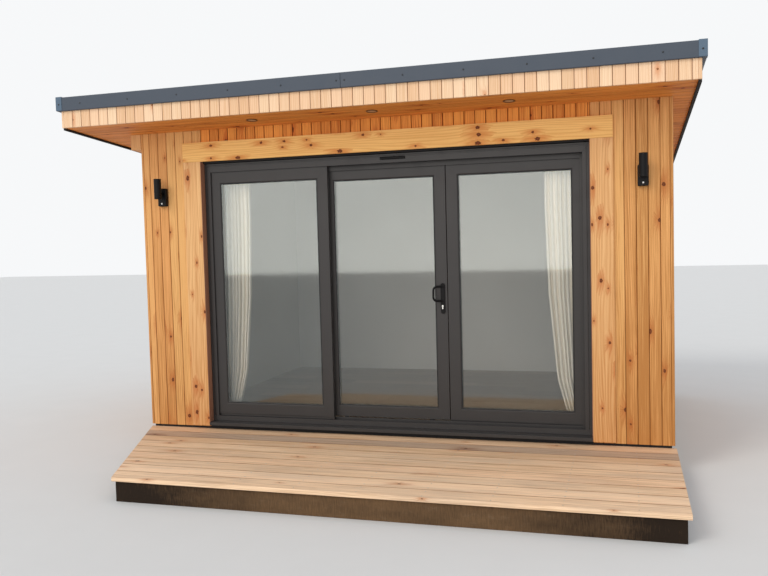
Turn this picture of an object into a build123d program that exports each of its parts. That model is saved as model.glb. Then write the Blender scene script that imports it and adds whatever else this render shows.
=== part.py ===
from build123d import *
import math
import os

os.makedirs("parts", exist_ok=True)

# Garden office pod, in millimetres. X runs along the front, Y from the front to the back, Z up.
# The origin is on the ground, under the middle of the base.

# Overall sizes
pod_width = 4100
pod_depth = 3000
deck_top = 165
cladding_clear = 20
wall_height = 2400
roof_slope = 0.07

# Walls
cladding_thick = 20
panel_thick = 135
base_height = 150
base_timber = 45
joist_spacing = 406
joists_each_side = 4

# Doorway and door frame
door_width = 3000
door_fit_gap = 5
frame_depth = 115
frame_setback = 40
frame_foot = 62
head_clearance = 267
frame_web = 24
frame_lip = 8
jamb_face = 51
head_face = 67
inner_lip_drop = 36
inner_lip_step = 21
fin_width = 12
groove_depth = 6
track_width = 46
threshold_base = 14
rail_height = 38
middle_lip_rise = 14
rail_width = 6

# Door leaves
leaf_thick = 36
leaf_stile = 90
leaf_top_rail = 96
leaf_bottom_rail = 88
leaf_lift = 58
foot_setback = 8
leaf_edge_gap = 16
meeting_x = 455
meeting_gap = 6
interlock_x = -459
interlock_overlap = 60
outer_leaf_drop = 65
inner_leaf_drop = 81
hook_thick = 4
hook_reach = 13
hook_clear = 5
bead_width = 14
glass_thick = 24
glass_inset = 6
rebate_depth = 16
roller_radius = 9
roller_width = 8
roller_inset = 140
running_gap = 0.3

# Door sill
sill_height = 30
sill_nose = 30
sill_fall = 5
drip_width = 6
drip_depth = 4
drip_setback = 8

# Handle on the sliding leaf
handle_x = 418
handle_plate_width = 34
handle_plate_low = 925
handle_plate_high = 1155
handle_plate_thick = 9
handle_grip_low = 1022
handle_grip_high = 1130
handle_reach_side = 62
handle_reach_out = 42
handle_bar = 13
lock_height = 984
lock_radius = 7
lock_length = 10

# Trickle vent on the door frame's head
vent_middle_x = 70
vent_length = 190
vent_height = 20
vent_depth = 14
vent_drop = 32

# Timber trims round the doorway
trim_thick = 22
trim_width = 153
trim_gap = 12
trim_clear = 30

# Roof, measured up from the soffit
overhang_front = 415
overhang_left = 428
overhang_right = 150
overhang_back = 100
soffit_thick = 12
fascia_thick = 20
fascia_visible = 125
roof_height = 190
membrane_thick = 3
edge_trim_height = 106
edge_trim_proud = 20
edge_trim_side_proud = 28
kerb_width = 60
corner_cap_reach = 50
corner_cap_thick = 3
corner_cap_lift = 4
drip_strip_height = 15

# Boxed batten under the left soffit
batten_width = 90
batten_height = 120

# Rear gutter and downpipe
gutter_width = 112
gutter_height = 75
gutter_wall = 3
gutter_drop = 25
pipe_radius = 34
pipe_inset = 260
pipe_foot = 110
pipe_wall_gap = 12
pipe_neck = 90
pipe_offset_drop = 150
pipe_kick = 70
clip_count = 3
clip_end_gap = 240
clip_height = 28
clip_margin = 8

# Deck
deck_length = 1400
deck_board_thick = 28
deck_right_overhang = 10
deck_left_front = -1465
riser_thick = 45
riser_inset = 22
deck_joist_spacing = 400

# Lights
downlight_radius = 43
downlight_lens = 33
downlight_proud = 4
downlight_dish = 2
downlight_x = (-950, -5, 980)
downlight_reach = 210
light_radius = 29
light_low = 1865
light_height = 160
light_throat = 25
light_throat_radius = 24
light_standoff = 90
plate_width = 72
plate_low = 1808
plate_high = 1952
plate_thick = 34
arm_width = 26
arm_low = 1895

# Curtains behind the doors
track_drop = 45
track_height = 16
track_depth = 22
track_inset = 70
curtain_width = 345
curtain_depth = 90
curtain_edge_gap = 25
curtain_floor_gap = 12
curtain_folds = 5
curtain_narrowing = ((0, 140), (240, 235), (700, 302))
hang_gap = 0.3

# Planes worked out from the sizes above
front = -pod_depth / 2
back = pod_depth / 2
half_width = pod_width / 2
panel_out = half_width - cladding_thick
panel_in = panel_out - panel_thick
wall_front = front + cladding_thick
room_front = wall_front + panel_thick
room_back = back - cladding_thick - panel_thick
cladding_low = deck_top + cladding_clear
door_half = door_width / 2
opening_half = door_half + door_fit_gap
frame_top = wall_height - head_clearance
opening_top = deck_top + frame_top + door_fit_gap
frame_low = deck_top + frame_foot
frame_high = deck_top + frame_top
frame_front = front + frame_setback
frame_back = frame_front + frame_depth
floor_top = frame_low
sole_top = frame_low - sill_height

roof_left = -half_width - overhang_left
roof_right = half_width + overhang_right
roof_front = front - overhang_front
roof_back = back + overhang_back


def soffit_z(y):
    """Height of the soffit's underside: it falls to the back, and is wall_height at the front wall."""
    return deck_top + wall_height - roof_slope * (y - front)


def sloped_points(y_start, y_end, low, high):
    """Corners in Y and Z of a slab whose faces lie low and high above the soffit's underside."""
    return [
        (y_start, soffit_z(y_start) + low),
        (y_end, soffit_z(y_end) + low),
        (y_end, soffit_z(y_end) + high),
        (y_start, soffit_z(y_start) + high),
    ]


def wall_points(y_start, y_end, z_low, high):
    """Corners in Y and Z of a wall with a level foot and a top that follows the roof."""
    return [
        (y_start, z_low),
        (y_end, z_low),
        (y_end, soffit_z(y_end) + high),
        (y_start, soffit_z(y_start) + high),
    ]


def prism_along_x(points, spans):
    """One solid for each span in X, of the outline points in Y and Z."""
    with BuildPart() as prism:
        for x_start, x_end in spans:
            with BuildSketch(Plane.YZ.offset(x_start)):
                with BuildLine():
                    Polyline(*points, close=True)
                make_face()
            extrude(amount=x_end - x_start)
    return prism


def prism_up(points, z_low, z_high):
    """A solid of the outline points in X and Y, from z_low to z_high."""
    with BuildPart() as prism:
        with BuildSketch(Plane.XY.offset(z_low)):
            with BuildLine():
                Polyline(*points, close=True)
            make_face()
        extrude(amount=z_high - z_low)
    return prism


def prism_back(points, y_front, y_back):
    """A solid of the outline points in X and Z, from y_front to y_back."""
    with BuildPart() as prism:
        with BuildSketch(Plane.XZ.offset(-y_back)):
            with BuildLine():
                Polyline(*points, close=True)
            make_face()
        extrude(amount=y_back - y_front)
    return prism


def rectangle_points(u_low, u_high, v_low, v_high):
    """The corners of an upright rectangle."""
    return [(u_low, v_low), (u_high, v_low), (u_high, v_high), (u_low, v_high)]


def save(piece, name):
    """Labels a piece and writes it to its own file."""
    piece.part.label = name
    export_step(piece.part, f"parts/{name}.step")


# Base: beams under the front and back walls, joists between them, and a sole that lifts the doors
beam_back = back - cladding_thick
beam_y = beam_back - base_timber / 2
with BuildPart() as base_beams:
    with BuildSketch():
        with Locations((0, -beam_y), (0, beam_y)):
            Rectangle(2 * panel_out, base_timber)
    extrude(amount=base_height)
save(base_beams, "base_beams")

end_joist_x = panel_out - base_timber / 2
inner_joists = [i * joist_spacing for i in range(-joists_each_side, joists_each_side + 1)]
with BuildPart() as base_joists:
    with BuildSketch():
        for x in [-end_joist_x, *inner_joists, end_joist_x]:
            with Locations((x, 0)):
                Rectangle(base_timber, 2 * (beam_back - base_timber))
    extrude(amount=base_height)
save(base_joists, "base_joists")

door_sole = prism_up(
    rectangle_points(-opening_half, opening_half, wall_front, room_front), base_height, sole_top
)
save(door_sole, "door_sole")

floor = prism_up(rectangle_points(-panel_in, panel_in, room_front, room_back), base_height, floor_top)
save(floor, "floor")

# Wall panels, split beside and over the doorway
front_panel = wall_points(wall_front, room_front, base_height, soffit_thick)
beside_doorway = [(-panel_out, -opening_half), (opening_half, panel_out)]
front_wall_sides = prism_along_x(front_panel, beside_doorway)
save(front_wall_sides, "front_wall_sides")
head_panel = wall_points(wall_front, room_front, opening_top, soffit_thick)
front_wall_head = prism_along_x(head_panel, [(-opening_half, opening_half)])
save(front_wall_head, "front_wall_head")

side_panel = wall_points(room_front, room_back, base_height, soffit_thick)
side_walls = prism_along_x(side_panel, [(-panel_out, -panel_in), (panel_in, panel_out)])
save(side_walls, "side_walls")
back_panel = wall_points(room_back, back - cladding_thick, base_height, soffit_thick)
back_wall = prism_along_x(back_panel, [(-panel_out, panel_out)])
save(back_wall, "back_wall")

# Cladding: the side skins cover the ends of the front and back ones
front_skin = wall_points(front, wall_front, cladding_low, 0)
front_cladding_sides = prism_along_x(front_skin, beside_doorway)
save(front_cladding_sides, "front_cladding_sides")
head_skin = wall_points(front, wall_front, opening_top, 0)
front_cladding_head = prism_along_x(head_skin, [(-opening_half, opening_half)])
save(front_cladding_head, "front_cladding_head")
side_skin = wall_points(front, back, cladding_low, 0)
side_cladding = prism_along_x(side_skin, [(-half_width, -panel_out), (panel_out, half_width)])
save(side_cladding, "side_cladding")
back_skin = wall_points(back - cladding_thick, back, cladding_low, 0)
back_cladding = prism_along_x(back_skin, [(-panel_out, panel_out)])
save(back_cladding, "back_cladding")

# Boxed batten along the top of the left wall, under the soffit
batten = sloped_points(front, back, -batten_height, 0)
left_eaves_batten = prism_along_x(batten, [(-half_width - batten_width, -half_width)])
save(left_eaves_batten, "left_eaves_batten")

# Timber trims: a header over the whole width, and jambs that butt under it
header_low = opening_top + trim_gap
trim_out = opening_half + trim_width
door_trim_head = prism_back(
    rectangle_points(-trim_out, trim_out, header_low, header_low + trim_width), front - trim_thick, front
)
save(door_trim_head, "door_trim_head")
jamb_low = deck_top + trim_clear
with BuildPart() as door_trim_sides:
    with BuildSketch(Plane.XY.offset(jamb_low)):
        for x in (-trim_out, opening_half):
            with Locations((x, front - trim_thick)):
                Rectangle(trim_width, trim_thick, align=(Align.MIN, Align.MIN))
    extrude(amount=header_low - jamb_low)
save(door_trim_sides, "door_trim_sides")

# Roof: an insulated panel inside four fascias, soffits under its overhangs, a membrane over all
fascia_in_left = roof_left + fascia_thick
fascia_in_right = roof_right - fascia_thick
fascia_in_front = roof_front + fascia_thick
fascia_in_back = roof_back - fascia_thick
panel_section = sloped_points(fascia_in_front, fascia_in_back, soffit_thick, roof_height)
roof_panel = prism_along_x(panel_section, [(fascia_in_left, fascia_in_right)])
save(roof_panel, "roof_panel")

front_fascia = prism_along_x(sloped_points(roof_front, fascia_in_front, 0, roof_height), [(roof_left, roof_right)])
save(front_fascia, "front_fascia")
rear_fascia = prism_along_x(sloped_points(fascia_in_back, roof_back, 0, roof_height), [(roof_left, roof_right)])
save(rear_fascia, "rear_fascia")
side_fascias = prism_along_x(
    sloped_points(fascia_in_front, fascia_in_back, 0, roof_height),
    [(roof_left, fascia_in_left), (fascia_in_right, roof_right)],
)
save(side_fascias, "side_fascias")

# Dark drip strips under the side fascias
side_drip_strips = prism_along_x(
    sloped_points(fascia_in_front, fascia_in_back, -drip_strip_height, 0),
    [(roof_left, fascia_in_left), (fascia_in_right, roof_right)],
)
save(side_drip_strips, "side_drip_strips")

front_soffit = prism_along_x(
    sloped_points(fascia_in_front, wall_front, 0, soffit_thick), [(fascia_in_left, fascia_in_right)]
)
save(front_soffit, "front_soffit")
side_soffits = prism_along_x(
    sloped_points(wall_front, back - cladding_thick, 0, soffit_thick),
    [(fascia_in_left, -panel_out), (panel_out, fascia_in_right)],
)
save(side_soffits, "side_soffits")
rear_soffit = prism_along_x(
    sloped_points(back - cladding_thick, fascia_in_back, 0, soffit_thick), [(fascia_in_left, fascia_in_right)]
)
save(rear_soffit, "rear_soffit")

membrane_top = roof_height + membrane_thick
roof_membrane = prism_along_x(
    sloped_points(roof_front, roof_back, roof_height, membrane_top), [(roof_left, roof_right)]
)
save(roof_membrane, "roof_membrane")

# Edge trims: an outer leg over the fascia and a kerb on the membrane
edge_top = fascia_visible + edge_trim_height
trim_left = roof_left - edge_trim_side_proud
trim_right = roof_right + edge_trim_side_proud
trim_front = roof_front - edge_trim_proud
kerb_back = roof_front + kerb_width
front_edge = [
    (trim_front, soffit_z(roof_front) + fascia_visible),
    (roof_front, soffit_z(roof_front) + fascia_visible),
    (roof_front, soffit_z(roof_front) + membrane_top),
    (kerb_back, soffit_z(kerb_back) + membrane_top),
    (kerb_back, soffit_z(kerb_back) + edge_top),
    (trim_front, soffit_z(roof_front) + edge_top),
]
roof_trim_front = prism_along_x(front_edge, [(roof_left, roof_right)])
save(roof_trim_front, "roof_trim_front")

# The side trims follow the slope and close the front corners: each is an upright leg and a kerb
with BuildPart() as roof_trim_sides:
    for outer, inner, kerb in (
        (trim_left, roof_left, roof_left + kerb_width),
        (trim_right, roof_right, roof_right - kerb_width),
    ):
        with BuildSketch(Plane.YZ.offset(min(outer, inner))):
            with BuildLine():
                Polyline(*sloped_points(trim_front, roof_back, fascia_visible, edge_top), close=True)
            make_face()
        extrude(amount=abs(outer - inner))
        with BuildSketch(Plane.YZ.offset(min(inner, kerb))):
            with BuildLine():
                Polyline(*sloped_points(kerb_back, roof_back, membrane_top, edge_top), close=True)
            make_face()
        extrude(amount=kerb_width)
save(roof_trim_sides, "roof_trim_sides")

# Folded caps over the front corners of the edge trims: a front leg, a side leg and a top
cap_low = fascia_visible + corner_cap_lift
cap_front = trim_front - corner_cap_thick
cap_back = trim_front + corner_cap_reach
with BuildPart() as roof_corner_caps:
    for outer, turn in ((trim_left, 1), (trim_right, -1)):
        skin_x = outer - turn * corner_cap_thick
        inner_x = outer + turn * corner_cap_reach
        for x_start, x_end, section in (
            (skin_x, inner_x, sloped_points(cap_front, trim_front, cap_low, edge_top)),
            (skin_x, outer, sloped_points(trim_front, cap_back, cap_low, edge_top)),
            (skin_x, inner_x, sloped_points(cap_front, cap_back, edge_top, edge_top + corner_cap_thick)),
        ):
            with BuildSketch(Plane.YZ.offset(min(x_start, x_end))):
                with BuildLine():
                    Polyline(*section, close=True)
                make_face()
            extrude(amount=abs(x_end - x_start))
save(roof_corner_caps, "roof_corner_caps")

# Rear gutter: an open trough on the rear fascia, with closed ends
gutter_high = soffit_z(roof_back) + roof_height - gutter_drop
gutter_low = gutter_high - gutter_height
with BuildPart() as rear_gutter:
    with BuildSketch(Plane.YZ.offset(roof_left)):
        with BuildLine():
            Polyline(
                *rectangle_points(roof_back, roof_back + gutter_width, gutter_low, gutter_high), close=True
            )
        make_face()
    extrude(amount=roof_right - roof_left)
    with BuildSketch(Plane.YZ.offset(roof_left + gutter_wall)):
        with BuildLine():
            Polyline(
                *rectangle_points(
                    roof_back + gutter_wall,
                    roof_back + gutter_width - gutter_wall,
                    gutter_low + gutter_wall,
                    gutter_high + gutter_wall,
                ),
                close=True,
            )
        make_face()
    extrude(amount=roof_right - roof_left - 2 * gutter_wall, mode=Mode.SUBTRACT)
save(rear_gutter, "rear_gutter")

# Downpipe: out of the gutter's floor, back to the wall and down it to an open shoe
pipe_x = half_width - pipe_inset
pipe_out_y = roof_back + gutter_width / 2
pipe_wall_y = back + pipe_wall_gap + pipe_radius
with BuildPart() as rear_downpipe:
    with BuildLine():
        Polyline(
            (pipe_x, pipe_out_y, gutter_low),
            (pipe_x, pipe_out_y, gutter_low - pipe_neck),
            (pipe_x, pipe_wall_y, gutter_low - pipe_neck - pipe_offset_drop),
            (pipe_x, pipe_wall_y, pipe_foot + pipe_kick),
            (pipe_x, pipe_wall_y + pipe_kick, pipe_foot),
        )
    with BuildSketch(Plane.XY.offset(gutter_low)):
        with Locations((pipe_x, pipe_out_y)):
            Circle(pipe_radius)
    sweep(transition=Transition.RIGHT)
    clip_low = pipe_foot + pipe_kick + clip_end_gap
    clip_high = gutter_low - pipe_neck - pipe_offset_drop - clip_end_gap
    for i in range(clip_count):
        clip_z = clip_low + (clip_high - clip_low) * i / (clip_count - 1)
        with BuildSketch(Plane.XY.offset(clip_z)):
            with Locations((pipe_x, back)):
                Rectangle(
                    2 * (pipe_radius + clip_margin), pipe_wall_y - back, align=(Align.CENTER, Align.MIN)
                )
        extrude(amount=clip_height)
save(rear_downpipe, "rear_downpipe")

# Deck: boards on joists, a dark riser round the front and ends, and a left end cut on a slant
deck_front = front - deck_length
deck_right = half_width + deck_right_overhang
deck_low = deck_top - deck_board_thick
slant = (deck_left_front + half_width) / deck_length


def deck_left_x(y):
    """The deck's left edge, which runs on a slant from the wall's corner to the front."""
    return -half_width + slant * (front - y)


def deck_outline(inset):
    """The deck's corners, drawn in by inset at the front and the two ends."""
    y_front = deck_front + inset
    y_back = wall_front
    edge_inset = inset * math.hypot(1, slant)
    return [
        (deck_left_x(y_back) + edge_inset, y_back),
        (deck_left_x(y_front) + edge_inset, y_front),
        (deck_right - inset, y_front),
        (deck_right - inset, y_back),
    ]


deck_boards = prism_up(deck_outline(0), deck_low, deck_top)
save(deck_boards, "deck_boards")

with BuildPart() as deck_riser:
    with BuildSketch():
        with BuildLine():
            Polyline(*deck_outline(riser_inset), close=True)
        make_face()
        with BuildLine():
            Polyline(*deck_outline(riser_inset + riser_thick), close=True)
        make_face(mode=Mode.SUBTRACT)
    extrude(amount=deck_low)
save(deck_riser, "deck_riser")

joist_front = deck_front + riser_inset + riser_thick
joist_count = int((deck_right - riser_inset - riser_thick - deck_left_front) // deck_joist_spacing)
with BuildPart() as deck_joists:
    with BuildSketch():
        for i in range(joist_count):
            x = deck_right - riser_inset - riser_thick - (i + 0.5) * deck_joist_spacing
            with Locations((x, (joist_front + wall_front) / 2)):
                Rectangle(base_timber, wall_front - joist_front)
    extrude(amount=deck_low)
save(deck_joists, "deck_joists")

# Door sill: its top falls to a nose over the deck
sill_front = front - sill_nose
sill_section = [
    (sill_front, sole_top),
    (sill_front + drip_setback, sole_top),
    (sill_front + drip_setback, sole_top + drip_depth),
    (sill_front + drip_setback + drip_width, sole_top + drip_depth),
    (sill_front + drip_setback + drip_width, sole_top),
    (frame_back, sole_top),
    (frame_back, frame_low),
    (frame_front, frame_low),
    (sill_front, frame_low - sill_fall),
]
door_sill = prism_along_x(sill_section, [(-door_half, door_half)])
save(door_sill, "door_sill")

# Door frame: two tracks side by side between three lips
outer_track = frame_front + frame_lip
middle_lip = outer_track + track_width
inner_track = middle_lip + frame_lip
back_lip = inner_track + track_width
rail_z = frame_low + rail_height


def track_section(turn, lip, inner_lip):
    """Frame section as (depth, height) points, mapped by turn: a web, three lips and a grooved outer fin."""
    points = [
        (frame_front, 0),
        (frame_back, 0),
        (frame_back, inner_lip),
        (back_lip, inner_lip),
        (back_lip, frame_web),
        (inner_track, frame_web),
        (inner_track, inner_lip),
        (middle_lip, inner_lip),
        (middle_lip, frame_web),
        (outer_track, frame_web),
        (outer_track, lip),
        (frame_front, lip),
        (frame_front, 2 * fin_width),
        (frame_front + groove_depth, 2 * fin_width),
        (frame_front + groove_depth, fin_width),
        (frame_front, fin_width),
    ]
    return [turn(y, h) for y, h in points]


head_section = track_section(lambda y, h: (y, frame_high - h), head_face, head_face + inner_lip_drop)
with BuildPart() as door_frame_head:
    with BuildSketch(Plane.YZ.offset(-door_half)):
        with BuildLine():
            Polyline(*head_section, close=True)
        make_face()
    extrude(amount=door_width)
save(door_frame_head, "door_frame_head")

threshold_section = [
    (frame_front, frame_low),
    (frame_back, frame_low),
    (frame_back, rail_z),
    (back_lip, rail_z),
    (back_lip, frame_low + threshold_base),
    ((inner_track + back_lip + rail_width) / 2, frame_low + threshold_base),
    ((inner_track + back_lip + rail_width) / 2, rail_z),
    ((inner_track + back_lip - rail_width) / 2, rail_z),
    ((inner_track + back_lip - rail_width) / 2, frame_low + threshold_base),
    (inner_track, frame_low + threshold_base),
    (inner_track, rail_z),
    (middle_lip, rail_z),
    (middle_lip, frame_low + threshold_base),
    ((outer_track + middle_lip + rail_width) / 2, frame_low + threshold_base),
    ((outer_track + middle_lip + rail_width) / 2, rail_z),
    ((outer_track + middle_lip - rail_width) / 2, rail_z),
    ((outer_track + middle_lip - rail_width) / 2, frame_low + threshold_base),
    (outer_track, frame_low + threshold_base),
    (outer_track, rail_z),
    (frame_front, rail_z),
]
# The middle lip stands higher between the jambs, against rain
lip_half = door_half - jamb_face - inner_lip_step
with BuildPart() as door_threshold:
    with BuildSketch(Plane.YZ.offset(-door_half)):
        with BuildLine():
            Polyline(*threshold_section, close=True)
        make_face()
    extrude(amount=door_width)
    with BuildSketch(Plane.YZ.offset(-lip_half)):
        with BuildLine():
            Polyline(
                *rectangle_points(middle_lip, inner_track, rail_z, rail_z + middle_lip_rise), close=True
            )
        make_face()
    extrude(amount=2 * lip_half)
save(door_threshold, "door_threshold")

# The jambs stand on the threshold, and their tops are cut to fit the head
jamb_high = frame_high - head_face - inner_lip_drop
with BuildPart() as door_frame_jambs:
    for side in (-1, 1):
        with BuildSketch(Plane.XY.offset(rail_z)):
            with BuildLine():
                Polyline(
                    *track_section(
                        lambda y, h: (side * (door_half - h), y), jamb_face, jamb_face + inner_lip_step
                    ),
                    close=True,
                )
            make_face()
        extrude(amount=frame_high - frame_web - rail_z)
    with BuildSketch(Plane.YZ.offset(-door_half)):
        with BuildLine():
            Polyline(*head_section, close=True)
        make_face()
    extrude(amount=door_width, mode=Mode.SUBTRACT)
save(door_frame_jambs, "door_frame_jambs")

# Trickle vent: a canopy on the head's front face
with BuildPart() as trickle_vent:
    with BuildSketch(Plane.XZ.offset(-frame_front)):
        with Locations((vent_middle_x, frame_high - vent_drop)):
            Rectangle(vent_length, vent_height)
    extrude(amount=vent_depth)
    chamfer(trickle_vent.faces().sort_by(Axis.Y)[0].edges(), vent_height / 4)
save(trickle_vent, "trickle_vent")


# Door leaves: a frame with a rebate for the glass, and a foot set back below the bottom rail
leaf_low = frame_low + leaf_lift
outer_leaf_front = outer_track + (track_width - leaf_thick) / 2
inner_leaf_front = inner_track + (track_width - leaf_thick) / 2
leaf_edge = door_half - frame_web - leaf_edge_gap


def leaf_frame(x_low, x_high, z_high, y_front, z_foot):
    """A leaf's frame round its glass, with a bevelled sight line and a foot down to z_foot."""
    glass_low = leaf_low + leaf_bottom_rail
    glass_high = z_high - leaf_top_rail
    with BuildPart() as leaf:
        with BuildSketch(Plane.XZ.offset(-y_front)):
            with BuildLine():
                Polyline(*rectangle_points(x_low, x_high, leaf_low, z_high), close=True)
            make_face()
            with BuildLine():
                Polyline(
                    *rectangle_points(x_low + leaf_stile, x_high - leaf_stile, glass_low, glass_high),
                    close=True,
                )
            make_face(mode=Mode.SUBTRACT)
        extrude(amount=-leaf_thick)
        front_face = leaf.faces().filter_by(Axis.Y).sort_by(Axis.Y)[0]
        chamfer(front_face.inner_wires().edges(), bead_width / 2)
        with BuildSketch(Plane.XZ.offset(-y_front - glass_inset)):
            with BuildLine():
                Polyline(
                    *rectangle_points(
                        x_low + leaf_stile - rebate_depth,
                        x_high - leaf_stile + rebate_depth,
                        glass_low - rebate_depth,
                        glass_high + rebate_depth,
                    ),
                    close=True,
                )
            make_face()
        extrude(amount=-glass_thick, mode=Mode.SUBTRACT)
        if z_foot < leaf_low:
            with BuildSketch(Plane.XY.offset(z_foot)):
                with BuildLine():
                    Polyline(
                        *rectangle_points(
                            x_low, x_high, y_front + foot_setback, y_front + leaf_thick - foot_setback
                        ),
                        close=True,
                    )
                make_face()
            extrude(amount=leaf_low - z_foot)
    return leaf


def leaf_glass(x_low, x_high, z_high, y_front):
    """The sealed glass unit that fills a leaf's rebate."""
    return prism_back(
        rectangle_points(
            x_low + leaf_stile - rebate_depth,
            x_high - leaf_stile + rebate_depth,
            leaf_low + leaf_bottom_rail - rebate_depth,
            z_high - leaf_top_rail + rebate_depth,
        ),
        y_front + glass_inset,
        y_front + glass_inset + glass_thick,
    )


outer_high = frame_high - outer_leaf_drop
inner_high = frame_high - inner_leaf_drop
left_leaf = (-leaf_edge, interlock_x, outer_high, outer_leaf_front)
sliding_leaf = (interlock_x - interlock_overlap, meeting_x - meeting_gap / 2, inner_high, inner_leaf_front)
right_leaf = (meeting_x + meeting_gap / 2, leaf_edge, inner_high, inner_leaf_front)

left_leaf_frame = leaf_frame(*left_leaf, rail_z)
save(left_leaf_frame, "left_leaf_frame")
left_leaf_glass = leaf_glass(*left_leaf)
save(left_leaf_glass, "left_leaf_glass")
right_leaf_frame = leaf_frame(*right_leaf, rail_z)
save(right_leaf_frame, "right_leaf_frame")
right_leaf_glass = leaf_glass(*right_leaf)
save(right_leaf_glass, "right_leaf_glass")
sliding_leaf_frame = leaf_frame(*sliding_leaf, leaf_low)
save(sliding_leaf_frame, "sliding_leaf_frame")
sliding_leaf_glass = leaf_glass(*sliding_leaf)
save(sliding_leaf_glass, "sliding_leaf_glass")

# Interlock: a strip on the back of the left leaf's stile and one on the sliding leaf's face, which hook
hook_points = rectangle_points(
    interlock_x - hook_thick, interlock_x, outer_leaf_front + leaf_thick, outer_leaf_front + leaf_thick + hook_reach
)
left_leaf_interlock = prism_up(hook_points, leaf_low + hook_clear, jamb_high - hook_clear)
save(left_leaf_interlock, "left_leaf_interlock")
hook_high_x = interlock_x - hook_thick - hook_clear
hook_points = rectangle_points(
    hook_high_x - hook_thick, hook_high_x, inner_leaf_front - hook_reach, inner_leaf_front
)
sliding_leaf_interlock = prism_up(hook_points, leaf_low + hook_clear, jamb_high - hook_clear)
save(sliding_leaf_interlock, "sliding_leaf_interlock")

# Rollers under the sliding leaf, each a wheel and its housing over the inner rail
roller_y = (inner_track + back_lip) / 2
roller_z = rail_z + running_gap + roller_radius
with BuildPart() as leaf_rollers:
    for x in (sliding_leaf[0] + roller_inset, sliding_leaf[1] - roller_inset):
        with BuildSketch(Plane.XZ.offset(-roller_y - roller_width / 2)):
            with Locations((x, roller_z)):
                Circle(roller_radius)
            with BuildLine():
                Polyline(
                    *rectangle_points(x - 2 * roller_radius, x + 2 * roller_radius, roller_z, leaf_low),
                    close=True,
                )
            make_face()
        extrude(amount=roller_width)
save(leaf_rollers, "leaf_rollers")

# Handle: a slim back plate and a cranked D-shaped pull that reaches out over the glass
handle_base = inner_leaf_front - handle_plate_thick
plate_low_z = deck_top + handle_plate_low
plate_high_z = deck_top + handle_plate_high
grip_low_z = deck_top + handle_grip_low
grip_high_z = deck_top + handle_grip_high
with BuildPart() as door_handle:
    with BuildSketch(Plane.XZ.offset(-inner_leaf_front)):
        with Locations((handle_x, (plate_low_z + plate_high_z) / 2)):
            SlotOverall(plate_high_z - plate_low_z, handle_plate_width, rotation=90)
    extrude(amount=handle_plate_thick)
    with BuildLine():
        FilletPolyline(
            (handle_x, handle_base, grip_high_z),
            (handle_x - handle_reach_side, handle_base - handle_reach_out, grip_high_z),
            (handle_x - handle_reach_side, handle_base - handle_reach_out, grip_low_z),
            (handle_x, handle_base, grip_low_z),
            radius=1.8 * handle_bar,
        )
    grip_out = Vector(-handle_reach_side, -handle_reach_out, 0)
    with BuildSketch(Plane(origin=(handle_x, handle_base, grip_high_z), z_dir=grip_out)):
        Circle(handle_bar / 2)
    sweep()
save(door_handle, "door_handle")

with BuildPart() as lock_cylinder:
    with BuildSketch(Plane.XZ.offset(-handle_base)):
        with Locations((handle_x, deck_top + lock_height)):
            Circle(lock_radius)
    extrude(amount=lock_length)
save(lock_cylinder, "lock_cylinder")

# Downlights: dished rings, square to the sloping soffit
downlight_y = front - downlight_reach
with BuildPart() as downlights:
    for x in downlight_x:
        under = Plane(origin=(x, downlight_y, soffit_z(downlight_y)), z_dir=(0, -roof_slope, -1))
        with BuildSketch(under):
            Circle(downlight_radius)
        extrude(amount=downlight_proud)
        with BuildSketch(under.offset(downlight_proud)):
            Circle(downlight_lens)
        extrude(amount=-downlight_dish, mode=Mode.SUBTRACT)
save(downlights, "downlights")

# Wall lights: a back plate with an arm to an upright tube, open at both ends
light_y = front - light_standoff
light_x = (trim_out + half_width) / 2
with BuildPart() as wall_lights:
    for x in (-light_x, light_x):
        with BuildSketch(Plane.XZ.offset(-front)):
            with Locations((x, deck_top + (plate_low + plate_high) / 2)):
                RectangleRounded(plate_width, plate_high - plate_low, plate_width / 9)
        extrude(amount=plate_thick)
        with BuildSketch(Plane.XY.offset(deck_top + light_low)):
            with Locations((x, light_y)):
                Circle(light_radius)
        extrude(amount=light_height)
        with BuildSketch(Plane.XZ.offset(-light_y)):
            with Locations((x, deck_top + arm_low + arm_width / 2)):
                Rectangle(arm_width, arm_width)
        extrude(amount=light_y - front)
        for z in (deck_top + light_low, deck_top + light_low + light_height - light_throat):
            with BuildSketch(Plane.XY.offset(z)):
                with Locations((x, light_y)):
                    Circle(light_throat_radius)
            extrude(amount=light_throat, mode=Mode.SUBTRACT)
save(wall_lights, "wall_lights")

# Curtains gathered at both ends of the doors, under a track on the head wall
track_y = room_front + track_inset
track_high = opening_top + track_drop
curtain_high = track_high - track_height - hang_gap
curtain_low = floor_top + curtain_floor_gap
track_half = opening_half + curtain_edge_gap
with BuildPart() as curtain_track:
    with BuildSketch(Plane.YZ.offset(-track_half)):
        with BuildLine():
            Polyline(
                (room_front, track_high),
                (room_front, track_high - track_height / 2),
                (track_y - track_depth / 2, track_high - track_height / 2),
                (track_y - track_depth / 2, track_high - track_height),
                (track_y + track_depth / 2, track_high - track_height),
                (track_y + track_depth / 2, track_high),
                close=True,
            )
        make_face()
    extrude(amount=2 * track_half)
save(curtain_track, "curtain_track")


def curtain_section(side, width):
    """Outline in X and Y of a folded band that reaches width in from the end of the track."""
    crests = [
        (side * (track_half - width * i / (2 * curtain_folds)), track_y + (-1) ** i * curtain_depth / 4)
        for i in range(2 * curtain_folds + 1)
    ]
    front_edge = [(x, y - curtain_depth / 4) for x, y in crests]
    rear_edge = [(x, y + curtain_depth / 4) for x, y in reversed(crests)]
    return front_edge + rear_edge


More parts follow.
